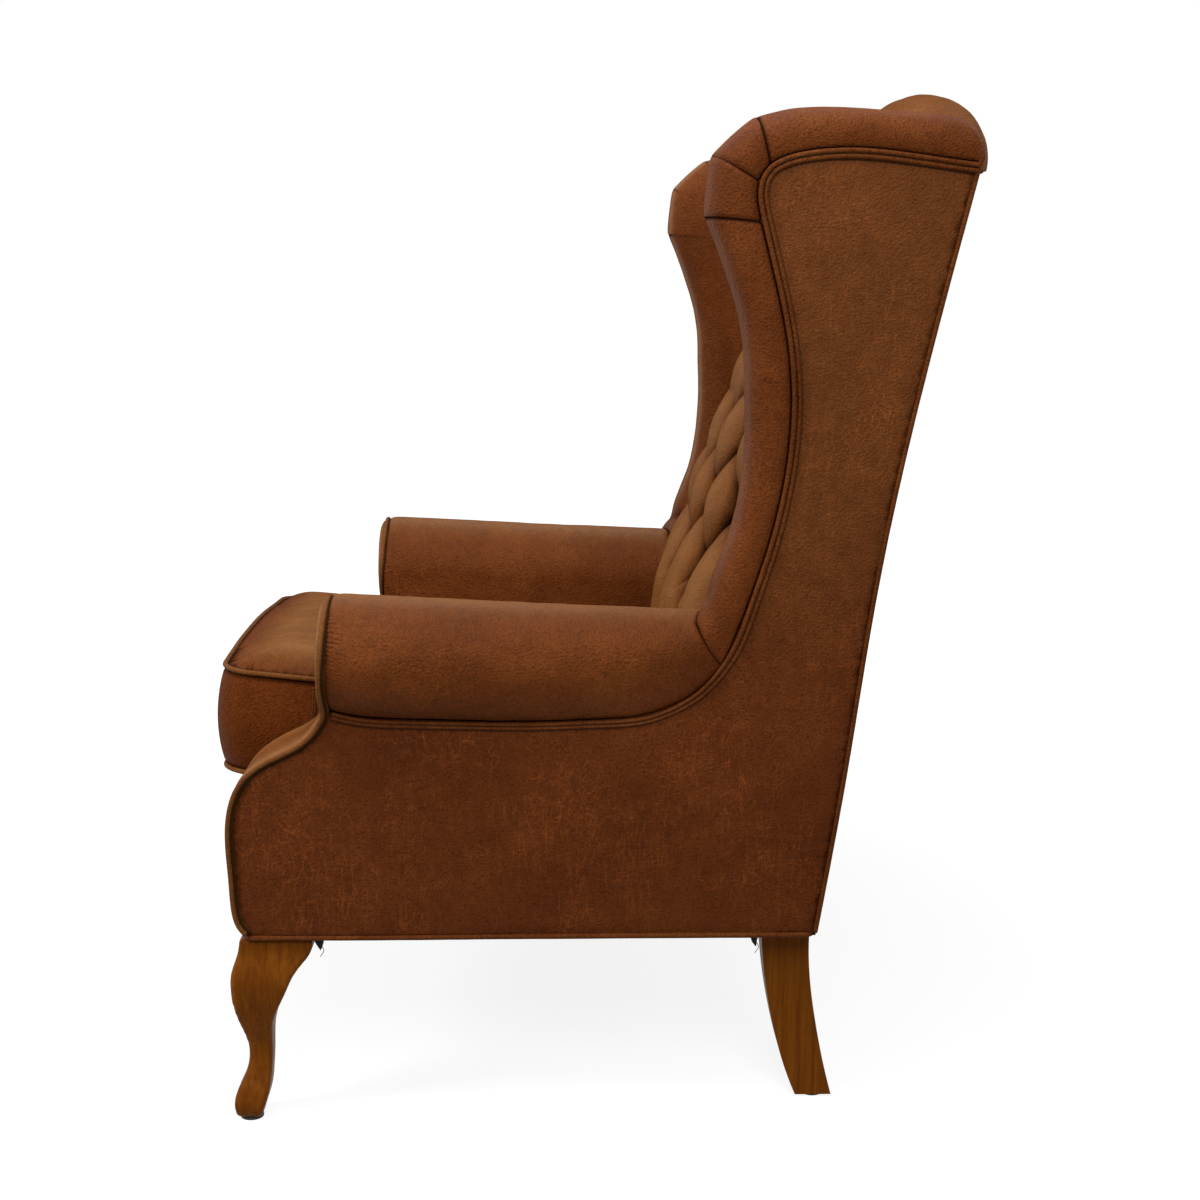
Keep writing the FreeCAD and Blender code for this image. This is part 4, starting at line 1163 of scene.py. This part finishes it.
def underside():
    """Black cloth tacked under the seat, slack between its tacks."""
    low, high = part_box("dust_cover")
    x, y, near = flat_grid((low.x + 0.006, low.y + 0.004), (high.x - 0.006, high.y - 0.006), (90, 80))
    cloth = np.stack([x, y, low.z - 0.004 * (1 - fade(near, 0.06))], axis=-1)
    cloth[:, :, 2] += 0.0012 * waves(cloth, 0.06)
    cloth[:, :, 2] = np.minimum(cloth[:, :, 2], low.z + 0.0004)
    top = np.stack([x, y, np.full_like(x, high.z - 0.0002)], axis=-1)
    settle(new_piece("underside_cloth", ringed(between(cloth, top))), black_cloth, "frame", "dust_cover")


def loose_corners():
    """Two small black flaps hanging below the base beside the near legs, each with a thin strand."""
    parts = []
    corners = (-0.303, 0.015), (0.186, 0.014)      # place along the chair, and size
    x = panel_face - 0.014
    steps = np.linspace(0, 1, 12)
    sway = 0.0022 * np.sin(np.linspace(0, 4.2, 16))
    for y, size in corners:
        width = size * (1 - steps ** 1.6) * 0.62 + 0.0006
        fall = base_low + 0.004 - (size + 0.004) * steps
        line = on_side(np.column_stack([y + 0.002 * steps, fall]), x)
        line += 0.0008 * waves(line, 0.004)[:, None] * (1, 1, 0)
        parts.append(tube(line, width, corners=10, squeeze=0.5))
        fall = np.linspace(base_low - size * 0.7, base_low - size - 0.008, len(sway))
        strand = on_side(np.column_stack([y + 0.003 + sway, fall]), x)
        parts.append(tube(strand, 0.0004, corners=6))
    settle(new_piece("loose_corners", joined(parts)), black_cloth, "frame")


def deck_cover():
    """The cloth-covered deck under the loose cushion."""
    low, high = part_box("seat_deck")
    x, y, near = flat_grid((low.x + 0.0005, low.y), (high.x - 0.0005, high.y), (100, 100))
    deck = high.z - (y - low.y) * math.tan(seat_pitch)
    top = np.stack([x, y, deck - 0.0025 - 0.004 * fade(near, 0.008)], axis=-1)
    top[:, :, 2] += 0.0010 * waves(top, 0.07)
    bottom = np.stack([x, y, deck - 0.012], axis=-1)
    piece = new_piece("deck_cover", ringed(between(top, bottom)))
    settle(piece, deck_cloth, "frame", "seat_deck")


# ---- Seat cushion ----

cushion_corner = 0.034
cushion_bow = 0.006          # how far the middle of the front edge stands forward and up
cushion_pull = 0.004         # how far the sides draw in between the corners
cushion_thrust = 0.010       # how far the top of the front edge leans forward
cushion_length = (cushion_high.y - cushion_low.y) / math.cos(seat_pitch)
cushion_drop = (cushion_high.y - cushion_low.y) * math.tan(seat_pitch)
cushion_height = (cushion_top - cushion_low.z - cushion_drop) / math.cos(seat_pitch)
cushion_floor = cushion_low.z + cushion_drop


def on_seat(places):
    """Points in space from the cushion's own X, length back and height."""
    x, along, up = np.moveaxis(np.array(places, float), -1, 0)
    bow = cushion_bow * np.cos(np.clip(x / cushion_half, -1, 1) * math.pi / 2)
    up = up * (1 + bow * fade(np.maximum(along, 0), 0.12) / cushion_height)
    along = along - cushion_thrust * up / cushion_height * np.clip(1 - along / 0.25, 0, 1)
    y = cushion_low.y + along * math.cos(seat_pitch) + up * math.sin(seat_pitch)
    z = cushion_floor - along * math.sin(seat_pitch) + up * math.cos(seat_pitch)
    return np.stack([x, y, z], axis=-1)


def cushion_outline(count, inset):
    """The cushion's seam from above: rounded corners, with sides that draw in between them."""
    half = cushion_half - inset
    line = rounded_loop(half, inset, cushion_length - inset, cushion_corner, 10, count)
    from_middle = line - (0, cushion_length / 2)
    share = from_middle / (half, cushion_length / 2)
    draw = np.cos(share[:, ::-1] * math.pi / 2)
    near_side = np.abs(share) ** 8
    line = line - np.sign(from_middle) * cushion_pull * draw * near_side
    line[:, 1] -= (cushion_bow + cushion_pull) * draw[:, 1] * near_side[:, 1] * (share[:, 1] < 0)
    return line


def cushion_cover():
    """The cushion's top, bottom and boxing, filled with air and held at the seams."""
    count = 300
    levels = 13
    outline = cushion_outline(count, piping)
    places, triangles, far_in = filled(outline, 0.0078)
    total = len(places)
    high_seam = cushion_height - piping
    top = np.column_stack([places, high_seam + 0.0205 * (1 - fade(far_in, 0.024))])
    bottom = np.column_stack([places, piping * fade(far_in, 0.01)])
    outward = unit(outline - (0, cushion_length / 2))
    band = []
    for share in np.arange(1, levels) / levels:
        spots = outline + outward * 0.0130 * math.sin(math.pi * share) ** 0.65
        band.append(np.column_stack([spots, np.full(count, piping + (high_seam - piping) * share)]))
    points = np.vstack([top, bottom] + band)

    away = np.linalg.norm(places[:, None] - outline, axis=2)
    order = away.argmin(axis=0)
    upright = [2 * total + level * count + np.arange(count) for level in range(levels - 1)]
    rings = [order + total] + upright + [order]
    faces = [tuple(face) for face in triangles]
    faces += [tuple(index + total for index in face[::-1]) for face in triangles]
    for lower, upper in zip(rings, rings[1:]):
        for i in range(count):
            k = (i + 1) % count
            faces.append((lower[i], lower[k], upper[k], upper[i]))
    piece = new_piece("cushion_cover", (on_seat(points), faces))

    def mark_parts(name, on_top, on_bottom, on_band):
        parts = (on_top, total), (on_bottom, total), (on_band, (levels - 1) * count)
        mark(piece, name, np.concatenate([np.broadcast_to(value, size) for value, size in parts]))

    held = np.concatenate([order, order + total])
    seams = np.zeros(len(points))
    seams[held] = 0.9
    mark(piece, "seam", seams)
    around = lengths(np.vstack([outline, outline[:1]]))
    gather_pitch = 0.0092
    turn = around[away.argmin(axis=1)] / gather_pitch
    flat = np.column_stack([places, np.zeros(total)])
    pucker = fade(far_in, 0.009) * (0.5 + 0.5 * waves(flat, 0.06, 4.0))
    streaks = waves(flat * (1, 0.28, 1), 0.019, 6.0) + 0.6 * waves(flat * (1, 0.4, 1), 0.045, 2.0)
    worn = 0.50 * smooth_step(far_in, 0.0, 0.06) * np.clip(0.95 + 0.5 * streaks, 0.1, 1.7)
    edge_tone = 0.7 * hump(far_in, 0.032)
    mark_parts("deep", edge_tone, edge_tone, 1)
    mark_parts("gather_turn", turn, turn, 0)
    mark_parts("gather", pucker, pucker, 0)
    mark_parts("wear", worn, 0, 0)
    inflate(piece, sorted({int(index) for index in held}), 0.004)
    settle(piece, soft_hide, "seat_cushion", "cushion")
    return piece


def inflate(piece, held, most):
    """Fill a cover with air while its seams are held; no point moves further than the most given."""
    frames = 20
    before = np.zeros(len(piece.data.vertices) * 3)
    piece.data.vertices.foreach_get("co", before)
    before = before.reshape(-1, 3)
    group = piece.vertex_groups.new(name="seams")
    group.add(held, 1.0, "REPLACE")
    cloth = piece.modifiers.new("filling", "CLOTH")
    settings = cloth.settings
    settings.use_pressure = True
    settings.uniform_pressure_force = 4.0
    settings.vertex_group_mass = "seams"
    settings.effector_weights.gravity = 0.0
    settings.quality = 6
    settings.mass = 0.4
    settings.tension_stiffness = 18
    settings.compression_stiffness = 18
    settings.bending_stiffness = 1.5
    cloth.collision_settings.use_collision = False
    scene = bpy.context.scene
    for number in range(1, frames + 1):
        scene.frame_set(number)
    shaped = piece.evaluated_get(bpy.context.evaluated_depsgraph_get())
    after = np.zeros(len(before) * 3)
    shaped.data.vertices.foreach_get("co", after)
    move = after.reshape(-1, 3) - before
    piece.modifiers.remove(cloth)
    piece.vertex_groups.remove(group)
    size = np.linalg.norm(move, axis=1, keepdims=True)
    move *= np.minimum(1, most / np.maximum(size, 1e-9))
    piece.data.vertices.foreach_set("co", (before + move).ravel())
    piece.data.update()
    scene.frame_set(1)


def boxing_seams(cover):
    """The upright seam on each side of the cushion, near its front: two folds with a line between them."""
    parts = []
    folds = (0.1058, 0.1082)       # distances from the front edge
    heights = np.linspace(piping + 0.004, cushion_height - piping - 0.004, 40)
    for side in sides.values():
        for along in folds:
            path = np.column_stack([np.full(40, side * (cushion_half + 0.01)), np.full(40, along), heights])
            laid = []
            for spot in on_seat(path):
                place, normal = cover.closest_point_on_mesh(Vector(spot))[1:3]
                laid.append(place + normal * 0.0002)
            parts.append(tube(laid, 0.0012, corners=8))
    settle(new_piece("boxing_seams", joined(parts)), trim_hide, "seat_cushion")


def cushion_cords():
    for end, level in (("top", cushion_height - piping), ("bottom", piping)):
        outline = cushion_outline(640, piping * 0.6)
        path = np.column_stack([outline, np.full(len(outline), level)])
        path[:, 2] += 0.0008 * waves(path, 0.09, 3.0)
        piece = new_piece("cushion_cord_" + end, cord(on_seat(path), thick_cord_radius, closed=True))
        mark(piece, "wear", 0.3)
        settle(piece, trim_hide, "seat_cushion", "cushion_piping_" + end)


# ---- Carried-over parts ----

def finish_frame():
    """Give each shown part of the frame its own finish."""
    finishes = {slot: finish for finish, slot in reversed(finish_slots.items())}
    for part in frame["record"]["subparts"]:
        shape = frame["nodes"][part["node"]]
        shape.data.materials.clear()
        shape.data.materials.append(finishes[part["material_slot"]])
        if part["node"].startswith("front_leg"):
            shape.data.shade_smooth()
            melt = shape.modifiers.new("carved", "REMESH")
            melt.mode = "VOXEL"
            melt.voxel_size = 0.0025
            melt.use_smooth_shade = True
            soften = shape.modifiers.new("sanded", "SMOOTH")
            soften.factor = 0.5
            soften.iterations = 14


# ---- Floor, light and camera ----

def white_ground():
    """A pale floor that keeps the chair's shadow and is white where light falls freely."""
    finish = Finish("floor")
    path = finish.node("ShaderNodeLightPath", out="Is Camera Ray")
    seen = (path + path.output("Is Glossy Ray") + path.output("Is Transmission Ray")).kept()
    away = finish.node("ShaderNodeVectorMath", {"operation": "LENGTH"}, {0: finish.place()}, out=1)
    far = away.kept(0.6, 2.6)
    tone = finish.mix(far, (0.86, 0.86, 0.86), (1, 1, 1))
    paint = finish.node("ShaderNodeBsdfDiffuse", {}, {"Color": (0.22, 0.22, 0.22)})
    glow = finish.node("ShaderNodeEmission", {}, {"Color": tone, "Strength": seen})
    both = finish.node("ShaderNodeAddShader", {}, {0: paint, 1: glow})
    finish.node("ShaderNodeOutputMaterial", {}, {"Surface": both})
    size = 9.0
    mesh = bpy.data.meshes.new("floor")
    corners = [(-size, -size, 0), (size, -size, 0), (size, size, 0), (-size, size, 0)]
    mesh.from_pydata(corners, [], [(0, 1, 2, 3)])
    mesh.materials.append(finish.material)
    floor = bpy.data.objects.new("floor", mesh)
    bpy.context.scene.collection.objects.link(floor)


def white_air():
    """White all round where it is seen, and a softer light where it only lights the chair."""
    air = Finish("studio", bpy.data.worlds)
    path = air.node("ShaderNodeLightPath", out="Is Camera Ray")
    seen = path
    for ray in ("Is Glossy Ray", "Is Transmission Ray"):
        seen = seen.sum("MAXIMUM", seen, path.output(ray))
    soft, full = (air.node("ShaderNodeBackground", {}, {"Color": (1, 1, 1), "Strength": strength})
                  for strength in (0.32, 1.0))
    both = air.node("ShaderNodeMixShader", {}, {0: seen, 1: soft, 2: full})
    air.node("ShaderNodeOutputWorld", {}, {"Surface": both})
    bpy.context.scene.world = air.material


def lamp(name, place, aim, size, power):
    light = bpy.data.lights.new(name, "AREA")
    light.shape = "RECTANGLE"
    light.size = size[0]
    light.size_y = size[1]
    light.energy = power
    holder = bpy.data.objects.new(name, light)
    holder.location = place
    holder.rotation_euler = (Vector(aim) - Vector(place)).to_track_quat("-Z", "Y").to_euler()
    bpy.context.scene.collection.objects.link(holder)


def camera():
    """Eye level with the wings, square to the chair's left side and a little above it."""
    eye = bpy.data.cameras.new("camera")
    eye.sensor_width = 36
    eye.lens = 53.1
    holder = bpy.data.objects.new("camera", eye)
    holder.location = (2.2545, -0.0245, 0.9344)
    holder.rotation_euler = (math.radians(90 - 10.12), 0, math.radians(90 - 1.115))
    bpy.context.scene.collection.objects.link(holder)
    bpy.context.scene.camera = holder


# ---- Make everything ----

finish_frame()
for side_name in sides:
    arm_cover(side_name)
    wing_cover(side_name)
    side_panel(side_name)
    welt_cords(side_name)
    rear_cord(side_name)
    facing_cover(side_name)
    facing_cord(side_name)
back_cover()
button_caps()
crest_cover()
crest_cord()
outside_back()
base_cord()
border_cover()
underside()
loose_corners()
deck_cover()
boxing_seams(cushion_cover())
cushion_cords()

white_ground()
white_air()
lamp("top_light", (0.7, -0.2, 3.0), (0, 0, 0.6), (1.2, 1.6), 42)
lamp("front_light", (1.2, -2.5, 2.1), (0.3, -0.1, 0.8), (0.7, 1.0), 46)
lamp("side_light", (2.8, 0.3, 2.4), (0.2, 0.1, 0.9), (1.2, 1.2), 50)
lamp("rear_light", (-1.3, 2.5, 2.0), (0, 0.2, 0.6), (1.6, 1.6), 8)
camera()
bpy.context.scene.view_settings.view_transform = "Standard"
